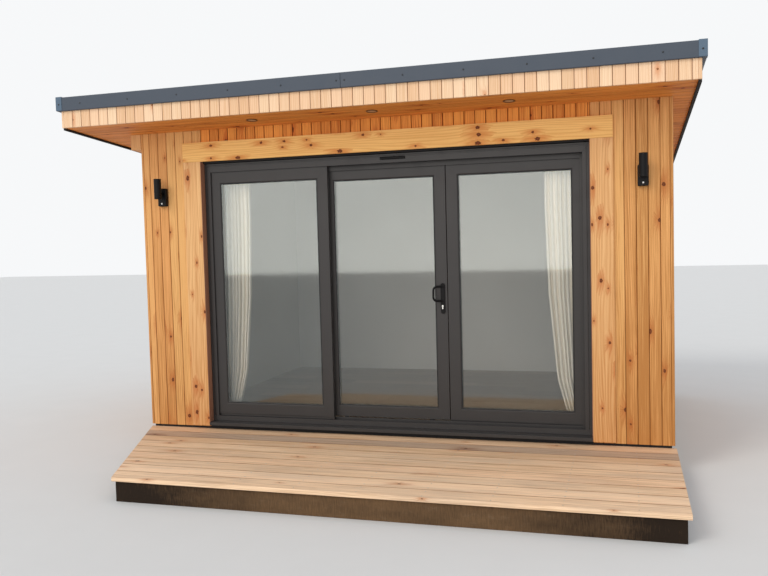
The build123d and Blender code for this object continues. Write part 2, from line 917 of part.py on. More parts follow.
# Each curtain hangs straight from the track, then narrows towards its hem
for side, curtain_name in ((-1, "left_curtain"), (1, "right_curtain")):
    with BuildPart() as curtain:
        for height, width in curtain_narrowing + ((curtain_high - curtain_low, curtain_width),):
            with BuildSketch(Plane.XY.offset(curtain_low + height)):
                with BuildLine():
                    Polyline(*curtain_section(side, width), close=True)
                make_face()
        loft(ruled=True)
    save(curtain, curtain_name)
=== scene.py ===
import math

import bpy
import numpy as np
from mathutils import Matrix, Vector


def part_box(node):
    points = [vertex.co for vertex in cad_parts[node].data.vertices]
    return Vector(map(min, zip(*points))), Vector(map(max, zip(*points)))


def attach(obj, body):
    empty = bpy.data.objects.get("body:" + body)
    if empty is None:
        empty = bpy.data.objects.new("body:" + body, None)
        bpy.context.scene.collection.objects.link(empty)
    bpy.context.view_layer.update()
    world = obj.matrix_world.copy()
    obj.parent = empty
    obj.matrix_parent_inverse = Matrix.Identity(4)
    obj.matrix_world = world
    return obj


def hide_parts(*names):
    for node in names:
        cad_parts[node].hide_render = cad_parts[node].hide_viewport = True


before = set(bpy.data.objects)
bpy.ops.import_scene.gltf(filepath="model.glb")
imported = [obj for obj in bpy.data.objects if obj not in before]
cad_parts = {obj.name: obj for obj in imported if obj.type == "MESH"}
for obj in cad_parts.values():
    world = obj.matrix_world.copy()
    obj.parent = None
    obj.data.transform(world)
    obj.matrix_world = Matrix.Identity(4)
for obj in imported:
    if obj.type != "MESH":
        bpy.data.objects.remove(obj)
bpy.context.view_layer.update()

# The garden office pod's looks, in metres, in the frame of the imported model
X, Y, Z = np.eye(3)
draw = np.random.default_rng(29)


def low(node):
    return np.array(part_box(node)[0])


def high(node):
    return np.array(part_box(node)[1])


def span(node, axis):
    """Where the node starts and ends along an axis: 0, 1 or 2 for x, y or z."""
    return low(node)[axis], high(node)[axis]


# Places read from the frame
front, back = span("side_cladding", 1)
half_width = high("side_cladding")[0]
panel_out = high("front_cladding_sides")[0]
skin = half_width - panel_out
wall_front = front + skin
deck_top = high("deck_boards")[2]
skin_low = low("side_cladding")[2]
opening_half = high("front_cladding_head")[0]
soffit_front = high("front_cladding_sides")[2]
roof_left, roof_right = span("front_fascia", 0)
roof_front, fascia_back = span("front_fascia", 1)
roof_back = high("rear_fascia")[1]
roof_slope = 0.07
fascia_thick = fascia_back - roof_front
inner_left, inner_right = roof_left + fascia_thick, roof_right - fascia_thick
inner_front, inner_back = roof_front + fascia_thick, roof_back - fascia_thick
deck_front, deck_right = low("deck_boards")[1], high("deck_boards")[0]

# Boards: how far apart their joints are, and where one joint lies
board_pitch, first_joint, board_bevel, board_gap = 0.0788, -1.975, 0.0045, 0.0018
fascia_pitch, fascia_bevel, fascia_gap = 0.0793, 0.0028, 0.0014
deck_pitch, deck_gap = 0.158, 0.006


def soffit(y):
    """Height of the soffit's underside: it falls to the back from the front wall."""
    return soffit_front - roof_slope * (y - front)


# Shapes


class Shape:
    """Points, faces, grain and tint of one piece, gathered part by part."""

    def __init__(self):
        self.points, self.faces, self.grain, self.tints = [], [], [], []
        self.count = 0

    def add(self, points, blocks, tint=0.5, closed=True):
        """Takes points (n, 3) and blocks of (faces, grain): index rows (f, k) and map places (f, k, 2).
        A closed part whose volume comes out negative has its faces turned round."""
        volume = 0.0
        for faces, _ in blocks:
            corner = points[faces] - points.mean(0)
            crossed = np.cross(corner[:, 1:-1], corner[:, 2:])
            volume += np.einsum("fi,fki->", corner[:, 0], crossed)
        turned = closed and volume < 0
        for faces, grain in blocks:
            self.faces.append((faces[:, ::-1] if turned else faces) + self.count)
            self.grain.append((grain[:, ::-1] if turned else grain).reshape(-1, 2))
            self.tints.append(np.broadcast_to(tint, len(faces)) if np.ndim(tint) == 0 else
                              np.repeat(tint, len(faces) // len(tint)))
        self.points.append(points)
        self.count += len(points)

    def make(self, name, finish, slot, node=None, body="pod", sharp=32, weighted=True):
        """The finished object, shaded smooth below the sharp angle, riding on its body in the node's stead.
        Weighted normals keep its flat faces flat beside the small roundings."""
        mesh = bpy.data.meshes.new(name)
        faces = [face for block in self.faces for face in block.tolist()]
        mesh.from_pydata(np.concatenate(self.points).tolist(), [], faces)
        places = np.concatenate(self.grain).astype(np.float32)
        mesh.uv_layers.new(name="grain").data.foreach_set("uv", places.ravel())
        tints = np.concatenate(self.tints).astype(np.float32)
        mesh.attributes.new("tint", "FLOAT", "FACE").data.foreach_set("value", tints)
        mesh.shade_smooth()
        mesh.set_sharp_from_angle(angle=math.radians(sharp))
        mesh.materials.append(finish)
        piece = bpy.data.objects.new(name, mesh)
        bpy.context.scene.collection.objects.link(piece)
        if weighted:
            normals = piece.modifiers.new("Flat faces", "WEIGHTED_NORMAL")
            normals.keep_sharp, normals.weight = True, 90
        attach(piece, body)
        if node:
            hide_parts(node)
        return piece


def rounded(points, radius, steps=2):
    """An outline with each corner turned into a short curve: with p the corner and a, b the points a
    radius before and after it, the curve is (1-t)^2 a + 2t(1-t) p + t^2 b."""
    corner = np.asarray(points, float)
    before = np.roll(corner, 1, -2) - corner
    after = np.roll(corner, -1, -2) - corner
    before_length = np.linalg.norm(before, axis=-1, keepdims=True)
    after_length = np.linalg.norm(after, axis=-1, keepdims=True)
    reach = np.minimum(radius, 0.45 * np.minimum(before_length, after_length))
    t = np.linspace(0, 1, steps + 1)[:, None]
    a = (corner + before / before_length * reach)[..., None, :]
    b = (corner + after / after_length * reach)[..., None, :]
    curve = (1 - t) ** 2 * a + 2 * t * (1 - t) * corner[..., None, :] + t**2 * b
    return curve.reshape(*corner.shape[:-2], -1, 2)


def rectangle(u_low, u_high, v_low, v_high):
    return np.array([(u_low, v_low), (u_high, v_low), (u_high, v_high), (u_low, v_high)], float)


def block(u_low, u_high, v_low, v_high, soft, steps=2):
    """A rectangle with its corners softened."""
    return rounded(rectangle(u_low, u_high, v_low, v_high), soft, steps)


def carry(shape, section, origin, along, across, out, start, end, tint=0.5):
    """Straight bars: point k of a bar is origin + u*across + v*out + w*along, with (u, v) from its section
    and w going from start to end. A start or end for each point cuts the bar on a slant."""
    section = np.array(section, float, ndmin=3)
    origin = np.array(origin, float, ndmin=2)
    cuts = (np.asarray(place, float) for place in (start, end))
    start, end = (place if place.ndim > 1 else place.reshape(-1, 1) for place in cuts)
    bars = max(len(section), len(origin), len(start), len(end))
    corners = section.shape[1]
    section = np.broadcast_to(section, (bars, corners, 2))
    flat = origin[:, None] + section[..., :1] * across + section[..., 1:] * out
    w = np.stack([np.broadcast_to(start, (bars, corners)), np.broadcast_to(end, (bars, corners))], 1)
    points = flat[:, None] + w[..., None] * along
    this = np.arange(corners)
    following = np.roll(this, -1)
    ring = np.stack([this, following, following + corners, this + corners], 1)
    step = np.arange(bars)[:, None, None] * 2 * corners
    sides = (ring[None] + step).reshape(-1, 4)
    edges = np.linalg.norm(np.roll(section, -1, 1) - section, axis=-1)
    girth = np.concatenate([np.zeros((bars, 1)), np.cumsum(edges, 1)], 1)
    lot = draw.uniform(0, 40, (bars, 1, 1, 2))
    side_u = np.stack([girth[:, :-1], girth[:, 1:], girth[:, 1:], girth[:, :-1]], -1)
    side_w = np.stack([w[:, 0], np.roll(w[:, 0], -1, 1), np.roll(w[:, 1], -1, 1), w[:, 1]], -1)
    side_grain = np.stack([side_u, side_w], -1) + lot
    ends = np.stack([this[::-1], this + corners])[None] + step
    end_grain = np.stack([section[:, ::-1], section], 1) * [1, 0.15] + lot
    blocks = [
        (sides, side_grain.reshape(-1, 4, 2)),
        (ends.reshape(-1, corners), end_grain.reshape(-1, corners, 2)),
    ]
    tint = np.broadcast_to(tint, bars) if np.ndim(tint) else tint
    shape.add(points.reshape(-1, 3), blocks, tint)


def loft(shape, grid, ring=True, caps=True):
    """A surface through grids of points (copies, rows, columns, 3): quads between neighbouring rows, the
    last column joined to the first if ring, and a face over each end row if caps."""
    grid = np.array(grid, float, ndmin=4)
    copies, rows, columns = grid.shape[:3]
    place = np.arange(rows * columns).reshape(rows, columns)
    following = np.roll(place, -1, 1) if ring else place[:, 1:]
    place = place if ring else place[:, :-1]
    quads = np.stack([place[:-1], following[:-1], following[1:], place[1:]], -1).reshape(-1, 4)
    step = np.arange(copies)[:, None, None] * rows * columns
    down = np.linalg.norm(np.diff(grid, axis=1), axis=-1).mean((0, 2))
    down = np.concatenate([[0], np.cumsum(down)])
    widest = np.linalg.norm(np.diff(grid, axis=2), axis=-1).max(1).mean(0)
    widest = np.concatenate([[0], np.cumsum(widest), [widest.sum() * columns / max(columns - 1, 1)]])
    column = np.arange(place.shape[1])
    u = widest[np.stack([column, column + 1, column + 1, column], -1)][None]
    v = np.stack([down[:-1], down[:-1], down[1:], down[1:]], -1)[:, None]
    u, v = np.broadcast_arrays(u, v)
    side_grain = np.stack([u, v], -1).reshape(-1, 4, 2)
    blocks = [((quads[None] + step).reshape(-1, 4), np.tile(side_grain, (copies, 1, 1)))]
    if caps:
        first = np.arange(columns)
        ends = np.stack([first[::-1], first + (rows - 1) * columns])
        turn = np.linspace(0, 2 * math.pi, columns, endpoint=False)
        round_map = 0.01 * np.stack([np.cos(turn), np.sin(turn)], -1)
        blocks.append(((ends[None] + step).reshape(-1, columns), np.tile(round_map, (2 * copies, 1, 1))))
    shape.add(grid.reshape(-1, 3), blocks, closed=ring and caps)


def turned(shape, profile, centres, axis, sides=32):
    """A turned form at each centre: ring k is a circle of radius r about the axis, at height h along it,
    with (r, h) from the profile."""
    axis = np.asarray(axis, float) / np.linalg.norm(axis)
    helper = X if abs(axis[0]) < 0.8 else Y
    first = np.cross(axis, helper)
    first /= np.linalg.norm(first)
    second = np.cross(axis, first)
    turn = np.linspace(0, 2 * math.pi, sides, endpoint=False)[:, None]
    circle = np.cos(turn) * first + np.sin(turn) * second
    profile = np.asarray(profile, float)
    rings = profile[:, 0, None, None] * circle + profile[:, 1, None, None] * axis
    centres = np.array(centres, float, ndmin=2)
    loft(shape, centres[:, None, None] + rings)


def arc(radius, centre, start, end, steps=5):
    """Points of an arc as (r, h), between two angles in degrees."""
    angle = np.radians(np.linspace(start, end, steps))
    return np.stack([centre[0] + radius * np.cos(angle), centre[1] + radius * np.sin(angle)], -1)


def tube(shape, line, radius, sides, side_hint=X):
    """A round bar along a line: at each point, radius*cos(a)*s + radius*sin(a)*n, where s and n stand square
    to the line and s lies nearest the hint."""
    line = np.asarray(line, float)
    ahead = np.gradient(line, axis=0)
    ahead /= np.linalg.norm(ahead, axis=1, keepdims=True)
    s = side_hint - (ahead @ side_hint)[:, None] * ahead
    s /= np.linalg.norm(s, axis=1, keepdims=True)
    n = np.cross(ahead, s)
    turn = np.linspace(0, 2 * math.pi, sides, endpoint=False)[None, :, None]
    loft(shape, line[:, None] + radius * np.cos(turn) * s[:, None] + radius * np.sin(turn) * n[:, None])


def plate(shape, outline, base, across, up, out, thick, soft):
    """A plate with a softened edge: the outline is drawn in by soft*(1 - cos a) while it rises by
    soft*sin a to its full thickness."""
    outline = np.asarray(outline, float)
    middle = (outline.max(0) + outline.min(0)) / 2
    half = (outline.max(0) - outline.min(0)) / 2
    bend = np.linspace(0, math.pi / 2, 5)
    inset = np.concatenate([[0], soft * (1 - np.cos(bend))])
    rise = np.concatenate([[0], thick - soft + soft * np.sin(bend)])
    share = (half - inset[:, None]) / half
    rings = middle + (outline - middle)[None] * share[:, None]
    loft(shape, base + rings[..., :1] * across + rings[..., 1:] * up + rise[:, None, None] * out)


def slot_outline(width, height, steps=10):
    """A rounded slot standing upright, with its middle at the origin."""
    top = arc(width / 2, (0, (height - width) / 2), 0, 180, steps)
    bottom = arc(width / 2, (0, -(height - width) / 2), 180, 360, steps)
    return np.concatenate([top, bottom])


def joints(start, end, first, pitch, least=0.02):
    """Places of boards' edges between start and end, with no board narrower than least."""
    counts = np.arange(math.ceil((start - first) / pitch), math.floor((end - first) / pitch) + 1)
    inner = first + pitch * counts
    inner = inner[(inner > start + least) & (inner < end - least)]
    return np.concatenate([[start], inner, [end]])


def board_section(width, thick, bevel, gap, tongue=0.35, ease=0.0007):
    """Sections of boards as wide as given: they touch at the back, up to the tongue's share of their
    thickness, and leave a gap in front, and both front edges have a bevel, eased a little."""
    width = np.asarray(width, float)
    zero, half = 0 * width, gap / 2
    u = np.stack([zero, width, width, width - half, width - half, width - half - bevel, half + bevel + zero,
                  half + zero, half + zero, zero], -1)
    step = tongue * thick
    v = [0, 0, step, step, thick - bevel, thick, thick, thick - bevel, step, step]
    return rounded(np.stack([u, np.broadcast_to(v, u.shape)], -1), ease, 1)


def along_x(section, start, end):
    """What carry takes after the shape for a section in (y, z) that is carried along x."""
    return section, (0, 0, 0), X, Y, Z, start, end


def piece_of(form, name, finish, slot, node, *runs):
    """A piece made by carry or by turned: each run holds what that takes after the shape."""
    shape = Shape()
    for run in runs:
        form(shape, *run)
    shape.make(name, finish, slot, node)


# Finishes


class Signal:
    """A value in a material: arithmetic on it adds Math nodes to the material's tree."""

    def __init__(self, finish, socket):
        self.finish, self.socket = finish, socket

    def math(self, operation, *others):
        return self.finish.math(operation, self, *others)

    def __add__(self, other):
        return self.math("ADD", other)

    def __sub__(self, other):
        return self.math("SUBTRACT", other)

    def __rsub__(self, other):
        return self.finish.math("SUBTRACT", other, self)

    def __mul__(self, other):
        return self.math("MULTIPLY", other)

    def __truediv__(self, other):
        return self.math("DIVIDE", other)

    def __pow__(self, other):
        return self.math("POWER", other)

    def __gt__(self, other):
        return self.math("GREATER_THAN", other)

    def __lt__(self, other):
        return self.math("LESS_THAN", other)

    __radd__, __rmul__ = __add__, __mul__

    def sine(self):
        return self.math("SINE")

    def fraction(self):
        return self.math("FRACT")

    def between(self, start, end):
        """0 below start, 1 above end, and a smooth step from one to the other."""
        ranged = {"interpolation_type": "SMOOTHSTEP"}
        return self.finish.add("ShaderNodeMapRange", ranged, {"Value": self, 1: start, 2: end})


class Finish:
    """A material, or the world's sky, and the few moves that build one."""

    def __init__(self, name, library=bpy.data.materials):
        self.material = library.new(name)
        self.material.use_nodes = True
        self.tree = self.material.node_tree
        self.tree.nodes.clear()

    def add(self, kind, settings=None, values=None, output=0):
        """A node of that type: its settings first, then the values or links of its sockets."""
        node = self.tree.nodes.new(kind)
        for key, value in (settings or {}).items():
            if key == "stops":
                ramp = node.color_ramp.elements
                while len(ramp) < len(value):
                    ramp.new(0.5)
                for element, (position, colour) in zip(ramp, value):
                    element.position = position
                    element.color = (*colour, 1)
            else:
                setattr(node, key, value)
        for key, value in (values or {}).items():
            socket = node.inputs[key]
            if isinstance(value, Signal):
                self.tree.links.new(value.socket, socket)
            elif socket.type == "RGBA":
                socket.default_value = (*value, 1)
            else:
                socket.default_value = value
        return Signal(self, node.outputs[output]) if node.outputs else None

    def math(self, operation, *values):
        return self.add("ShaderNodeMath", {"operation": operation}, dict(enumerate(values)))

    def mix(self, factor, a, b):
        """Colour a where the factor is 0 and b where it is 1."""
        return self.add("ShaderNodeMix", {"data_type": "RGBA"}, {0: factor, 6: a, 7: b}, 2)

    def vector(self, x, y, z=0.0):
        return self.add("ShaderNodeCombineXYZ", None, {0: x, 1: y, 2: z})

    def parts(self, vector):
        """The three numbers of a vector."""
        node = self.add("ShaderNodeSeparateXYZ", None, {0: vector}).socket.node
        return [Signal(self, node.outputs[i]) for i in range(3)]

    def noise(self, vector, scale=1.0, detail=3.0, roughness=0.5):
        values = {"Vector": vector, "Scale": scale, "Detail": detail, "Roughness": roughness}
        return self.add("ShaderNodeTexNoise", None, values)

    def drawn(self, u, w, seed=0.0, detail=3.0, roughness=0.5):
        """Noise drawn out along a piece: u and w carry their own scales, and the seed sets pieces apart."""
        return self.noise(self.vector(u, w, seed), 1.0, detail, roughness)

    def place(self):
        """The place on the object, in metres."""
        return self.add("ShaderNodeTexCoord", output="Object")

    def grain(self):
        """The piece's own map: metres across and along the grain."""
        return self.add("ShaderNodeUVMap", {"uv_map": "grain"})

    def tint(self):
        """The board's own number, from 0 to 1."""
        return self.add("ShaderNodeAttribute", {"attribute_name": "tint"}, output="Fac")

    def close(self, colour, roughness, metallic=0.0, height=None, depth=0.001, **plain):
        """The Principled surface: what varies goes to its colour, roughness and normal."""
        values = {"Base Color": colour, "Roughness": roughness, "Metallic": metallic}
        if height is not None:
            bump = {"Strength": 1.0, "Distance": depth, "Height": height}
            values["Normal"] = self.add("ShaderNodeBump", None, bump)
        values.update({key.replace("_", " "): value for key, value in plain.items()})
        surface = self.add("ShaderNodeBsdfPrincipled", None, values)
        self.add("ShaderNodeOutputMaterial", None, {"Surface": surface})
        return self.material


knot_brown = (0.10, 0.026, 0.008)


def timber(name, pale, deep, knot_colour=knot_brown, knots=0.3, rings=75, cell=(0.079, 0.40), scatter=0.9,
           knot_sizes=(0.0045, 0.016), roughness=0.6, weather=0.0, on_grain=True, spread=0.7, streaks=1.2,
           seams=None, seam_reach=0.005, seam_shade_and_dirt=0.6, fade=None, depth=0.0007):
    """Softwood: dark late-wood lines are a sine to a power, bent by noise stretched along the grain and
    pushed aside round the knots, which sit at Voronoi points, one or none to a cell, and as far from its
    middle as the scatter lets them; finer streaks lie over
    them, and each board's tint moves it between the pale and the deep colour. Seams, given as an axis, the
    outer edge of the first board and the pitch, darken the joints between boards: dirt in the joints, and
    painted shade in their recesses. A fade, given as an axis, a start, an end and the shift at each, moves
    the boards towards the deep colour."""
    f = Finish(name)
    if on_grain:
        u, w, _ = f.parts(f.grain())
        tint = f.tint()
    else:
        x, y, z = f.parts(f.place())
        u, w = x + z * 1.3, y
        tint = f.noise(f.place(), 2.2, 1.0)
    flow = f.drawn(u * 7, w * 0.5, tint * 37)
    cells = f.add("ShaderNodeTexVoronoi", {"voronoi_dimensions": "2D"}, {
        "Vector": f.vector(u / cell[0], w / cell[1]), "Scale": 1.0, "Randomness": scatter})
    luck = f.parts(Signal(f, cells.socket.node.outputs["Color"]))
    centre_u, centre_w, _ = f.parts(Signal(f, cells.socket.node.outputs["Position"]))
    du = u - centre_u * cell[0]
    dw = w - centre_w * cell[1]
    straight = (du * du + dw * dw * (0.3 + luck[2] * 0.7)) ** 0.5 + 0.00001
    rays = f.drawn(du / straight * 2.6, dw / straight * 2.6, luck[1] * 50, 2.0, 0.6)
    away = straight * (0.30 + rays * 1.5)
    radius = knot_sizes[0] + luck[1] * luck[1] * (knot_sizes[1] - knot_sizes[0])
    present = luck[0] < knots
    spread_out = ((du * du + dw * dw * 0.16) ** 0.5 / (radius * 3.0) * (0.4 + rays * 1.3)) ** 2.0
    swirl = present * (spread_out * -1.0).math("EXPONENT")
    lines = (((u + flow * 0.15 + swirl * 0.024) * rings * 6.283).sine() * 0.5 + 0.5) ** 2.2
    fine = f.drawn(u * 480, w * 7, tint * 11, 2.0, 0.6)
    thin = f.drawn(u * 120, w * 1.8, tint * 23, 3.0, 0.55)
    broad = f.drawn(u * 14, w * 0.8, tint * 53, 2.0, 0.5)
    core = present * (1 - (away / radius).between(0.80, 1.10))
    heart = (away / radius).between(0.10, 0.75)
    shade = lines * 0.36 + ((fine - 0.5) * 0.6 + (thin - 0.5) * 1.3) * streaks + (broad - 0.5) * 0.5
    if fade:
        axis, start, end, start_shift, end_shift = fade
        reach = f.parts(f.place())[axis].between(start, end)
        shade = shade + reach * (end_shift - start_shift) + start_shift
    rosy = (pale[0] * 0.98, pale[1] * 0.84, pale[2] * 0.80)
    lot = (tint * 7.31 + 0.17).fraction()
    body = f.mix((tint - 0.5) * spread + 0.22 + shade, f.mix(lot * spread, pale, rosy), deep)
    if weather:
        grey = f.drawn(u * 5, w * 1.1, tint * 91, 4.0, 0.6).between(0.42, 0.7)
        body = f.mix(grey * weather, body, (0.42, 0.34, 0.27))
    amber = (deep[0] * 0.92, deep[1] * 0.62, deep[2] * 0.48)
    halo = f.mix(swirl * 0.75, body, amber)
    light_core = tuple(c * 2.2 for c in knot_colour)
    colour = f.mix(core, halo, f.mix(heart, light_core, knot_colour))
    # Joint darkening: dirt in the joints, with painted shade of their recesses.
    if seams:
        axis, first, pitch = seams
        position = f.parts(f.place())[axis]
        phase = ((position - first) / pitch).fraction()
        off = phase.math("MINIMUM", 1 - phase) * pitch
        seam = (1 - off.between(0.2 * seam_reach, seam_reach)) * (position > first + pitch / 2)
        colour = f.mix(seam * seam_shade_and_dirt, colour, (deep[0] * 0.40, deep[1] * 0.22, deep[2] * 0.12))
    height = lines * 0.25 + fine * 0.5 + swirl * 0.4
    return f.close(colour, roughness + (fine - 0.5) * 0.22 + core * 0.15, height=height, depth=depth,
                   Specular_IOR_Level=0.25)


def coated(name, colour, roughness=0.42, grain=0.0, speck=0.0, metallic=0.0, coat=0.0, gloss=0.35,
           depth=0.0002):
    """Painted, foiled or moulded skin: fine orange peel, or a wood-like emboss along the piece if grain,
    with a little dust that dulls it."""
    f = Finish(name)
    peel = f.noise(f.place(), 900.0, 2.0, 0.5)
    dust = f.noise(f.place(), 7.0, 5.0, 0.62).between(0.45, 0.8)
    height = peel
    if grain:
        u, w, _ = f.parts(f.grain())
        emboss = f.drawn(u * 1500, w * 34, 0.0, 3.0, 0.6)
        height = peel * (1 - grain) + emboss * grain
    tone = (peel - 0.5) * speck + dust * 0.10
    lighter = tuple(min(1.0, c * 1.35 + 0.03) for c in colour)
    body = f.mix(tone + 0.05, colour, lighter)
    plain = {"Coat_Weight": coat, "Coat_Roughness": 0.2} if coat else {}
    return f.close(body, roughness + dust * 0.14 + (peel - 0.5) * 0.08, metallic, height, depth,
                   Specular_IOR_Level=gloss, **plain)


front_joints = (0, first_joint - board_pitch, board_pitch)
side_joints = (1, front, board_pitch)
oiled = {"pale": (0.77, 0.425, 0.152), "deep": (0.47, 0.198, 0.050), "knots": 0.26, "spread": 1.0,
         "streaks": 1.9, "seam_reach": 0.0042, "seam_shade_and_dirt": 0.42,
         "fade": (2, skin_low, skin_low + 1.5, 0.42, -0.06)}
cladding = timber("oiled_cladding", **oiled, seams=front_joints)
side_cladding = timber("oiled_side_cladding", **oiled, seams=side_joints)
# The frieze under the canopy is a redder, deeper copy of the cladding: painted warm shade of the canopy.
frieze_shade_wood = timber("oiled_frieze_painted_shade", (0.93, 0.385, 0.075), (0.52, 0.145, 0.020), knots=0.2, spread=0.55,
                streaks=1.5, seams=front_joints, seam_shade_and_dirt=0.75)
wide_board = {"cell": (0.052, 0.21), "scatter": 0.5, "knot_sizes": (0.005, 0.015), "spread": 0.25,
              "rings": 50}
header_wood = timber("oiled_header", (0.95, 0.58, 0.20), (0.66, 0.30, 0.07), knots=0.40, streaks=0.6,
                     **wide_board)
jamb_wood = timber("oiled_jambs", (0.83, 0.50, 0.225), (0.54, 0.24, 0.075), knots=0.32, streaks=0.9,
                   fade=(2, skin_low, skin_low + 1.6, 0.42, 0.0), **wide_board)
pale_board = {"pale": (0.93, 0.68, 0.45), "deep": (0.72, 0.42, 0.22), "knot_colour": (0.20, 0.075, 0.025),
              "knots": 0.12, "roughness": 0.68, "spread": 0.6, "streaks": 0.7}
fascia_wood = timber("pale_fascia", **pale_board, seams=(0, inner_left, fascia_pitch))
side_fascia_wood = timber("pale_side_fascia", **pale_board, seams=(1, roof_front, fascia_pitch))
# The soffit boards are darker and redder than the cladding's same boards: painted shade of the canopy's
# underside.
soffit_shade_wood = timber("oiled_soffit_painted_shade", (0.84, 0.33, 0.065), (0.44, 0.13, 0.020), spread=0.5, streaks=1.6,
                     seams=(1, inner_front, fascia_pitch), seam_reach=0.004)
deck_board = {"seams": (1, deck_front - deck_gap / 2, deck_pitch), "seam_reach": 0.010, "seam_shade_and_dirt": 0.75,
              "cell": (0.12, 0.5), "knots": 0.22, "knot_sizes": (0.004, 0.013)}
# The fade lightens the deck at its front edge and darkens it towards the wall: painted light and shade, as
# under the canopy.
deck_wood = timber("weathered_deck", (0.98, 0.71, 0.47), (0.58, 0.36, 0.20), (0.16, 0.075, 0.04),
                   roughness=0.72, weather=0.3, streaks=2.0, spread=0.4, depth=0.001,
                   fade=(1, deck_front, front, -0.14, 0.36), **deck_board)
grey_deck_wood = timber("greyed_deck_board", (0.60, 0.42, 0.29), (0.26, 0.165, 0.105), (0.10, 0.055, 0.035),
                        roughness=0.78, weather=0.2, streaks=1.7, **deck_board)
sawn_wood = timber("treated_timber", (0.42, 0.34, 0.20), (0.27, 0.19, 0.10), roughness=0.82, on_grain=False)
anthracite_grey = (0.0325, 0.0295, 0.029)
anthracite = coated("anthracite_foil", anthracite_grey, 0.40, grain=0.7, speck=0.05)
anthracite_moulding = coated("anthracite_moulding", anthracite_grey, 0.42, speck=0.05)
black_coat = coated("black_powder_coat", (0.005, 0.0045, 0.005), 0.42, speck=0.05, gloss=0.14, depth=0.00025)
# Dark reddish brown for the doorway's reveals: painted shade.
reveal_shade_board = timber("reveal_board_painted_shade", (0.36, 0.175, 0.105), (0.22, 0.085, 0.045), knots=0.2, roughness=0.7)
trim_coat = coated("blue_grey_coated_sheet", (0.054, 0.069, 0.093), 0.46, grain=0.4, speck=0.10)
trim_screw = coated("dark_coated_screw", (0.020, 0.024, 0.030), 0.4, speck=0.04)
black_gutter = coated("black_gutter_plastic", (0.014, 0.014, 0.016), 0.26, coat=0.25)
gasket_rubber = coated("gasket_rubber", (0.012, 0.012, 0.013), 0.62)
white_plastic = coated("white_track_plastic", (0.78, 0.78, 0.76), 0.38)
room_paint = coated("room_paint", (0.66, 0.63, 0.57), 0.82, speck=0.03, depth=0.0004)
# Black that stands in for shadow under the sill and along the side fascias' lower edges.
black_painted_shadow = coated("black_painted_shadow_sheet", (0.010, 0.010, 0.011), 0.8, speck=0.05)
dark_plastic = coated("dark_roller_plastic", (0.030, 0.030, 0.032), 0.45, speck=0.04)
screw_steel = coated("screw_steel", (0.42, 0.42, 0.43), 0.32, metallic=1.0)
lock_plate = coated("plated_lock", (0.72, 0.70, 0.66), 0.2, metallic=1.0)
satin_ring = coated("satin_ring", (0.11, 0.055, 0.028), 0.34, metallic=0.85)
cap_coat = coated("pale_grey_cap", (0.080, 0.128, 0.185), 0.4)


def riser_finish():
    """Rough dark-stained board: saw marks are noise drawn out upwards, stains are broad noise, and the board
    darkens towards both ends with the square of the way from its middle: painted shade at its ends."""
    f = Finish("dark_stained_riser")
    u, w, _ = f.parts(f.grain())
    from_middle = (f.parts(f.place())[0] - 0.35) * 0.62
    end_shade = (from_middle * from_middle).math("MINIMUM", 0.9)
    saw = f.drawn(u * 16, w * 130, 0.0, 4.0, 0.7)
    stain = f.drawn(u * 5, w * 2.2, 0.0, 5.0, 0.62)
    bloom = f.drawn(u * 30, w * 11, 0.0, 4.0, 0.7).between(0.52, 0.75)
    marks_and_end_shade = (saw - 0.5) * 0.9 + (stain - 0.5) * 1.1 + 0.66 - end_shade * 0.78
    body = f.mix(marks_and_end_shade, (0.020, 0.012, 0.007), (0.185, 0.105, 0.050))
    colour = f.mix(bloom * marks_and_end_shade * 0.3, body, (0.22, 0.165, 0.115))
    return f.close(colour, 0.88, height=saw + stain * 0.4, depth=0.0016, Specular_IOR_Level=0.2)


def wall_finish():
    """Painted lining on the sides that face the room, and dark breather sheet on the outer ones."""
    f = Finish("lined_wall")
    x, y, _ = f.parts(f.place())
    slack = 0.002
    room_half = high("floor")[0] + slack
    room_start, room_end = np.array(span("floor", 1)) + (-slack, slack)
    in_room = (x < room_half) * (x > -room_half) * (y > room_start) * (y < room_end)
    peel = f.noise(f.place(), 260.0, 3.0, 0.5)
    patch = f.noise(f.place(), 1.4, 3.0)
    paint = f.mix(patch, (0.62, 0.59, 0.53), (0.68, 0.65, 0.59))
    return f.close(f.mix(in_room, (0.012, 0.012, 0.013), paint), 0.82, height=peel, depth=0.0003)


def membrane_finish():
    """Matt rubber sheet: broad soft stains and a fine leathery skin."""
    f = Finish("rubber_membrane")
    stain = f.noise(f.place(), 1.6, 6.0, 0.6).between(0.35, 0.75)
    skin_noise = f.noise(f.place(), 300.0, 3.0, 0.6)
    colour = f.mix(stain, (0.045, 0.046, 0.05), (0.10, 0.10, 0.10))
    return f.close(colour, 0.75 + stain * 0.15, height=skin_noise, depth=0.0004)


def laminate_finish(plank_width=0.192, plank_length=1.285):
    """Wood-look floor: planks in rows, each row shifted by a third, with bevelled seams and its own tone."""
    f = Finish("laminate_floor")
    x, y, _ = f.parts(f.place())
    row = (y / plank_width).math("FLOOR")
    shifted = x / plank_length + row * 0.37
    plank = shifted.math("FLOOR")
    tone = f.add("ShaderNodeTexWhiteNoise", {"noise_dimensions": "2D"}, {"Vector": f.vector(row, plank)})
    across = (y / plank_width).fraction()
    along = shifted.fraction()
    edge = across.math("MINIMUM", 1 - across) * plank_width
    end = along.math("MINIMUM", 1 - along) * plank_length
    seam = 1 - edge.math("MINIMUM", end).between(0.0005, 0.0022)
    flow = f.drawn(x * 1.1, y * 16, tone * 30, 4.0, 0.6)
    lines = f.drawn(x * 12, y * 420, tone * 30, 2.0, 0.5)
    body = f.mix(flow * 0.6 + tone * 0.4 + (lines - 0.5) * 0.3, (0.40, 0.27, 0.17), (0.20, 0.125, 0.075))
    colour = f.mix(seam * 0.75, body, (0.05, 0.035, 0.025))
    return f.close(colour, 0.34 + lines * 0.12, height=lines * 0.2 - seam, depth=0.0007)


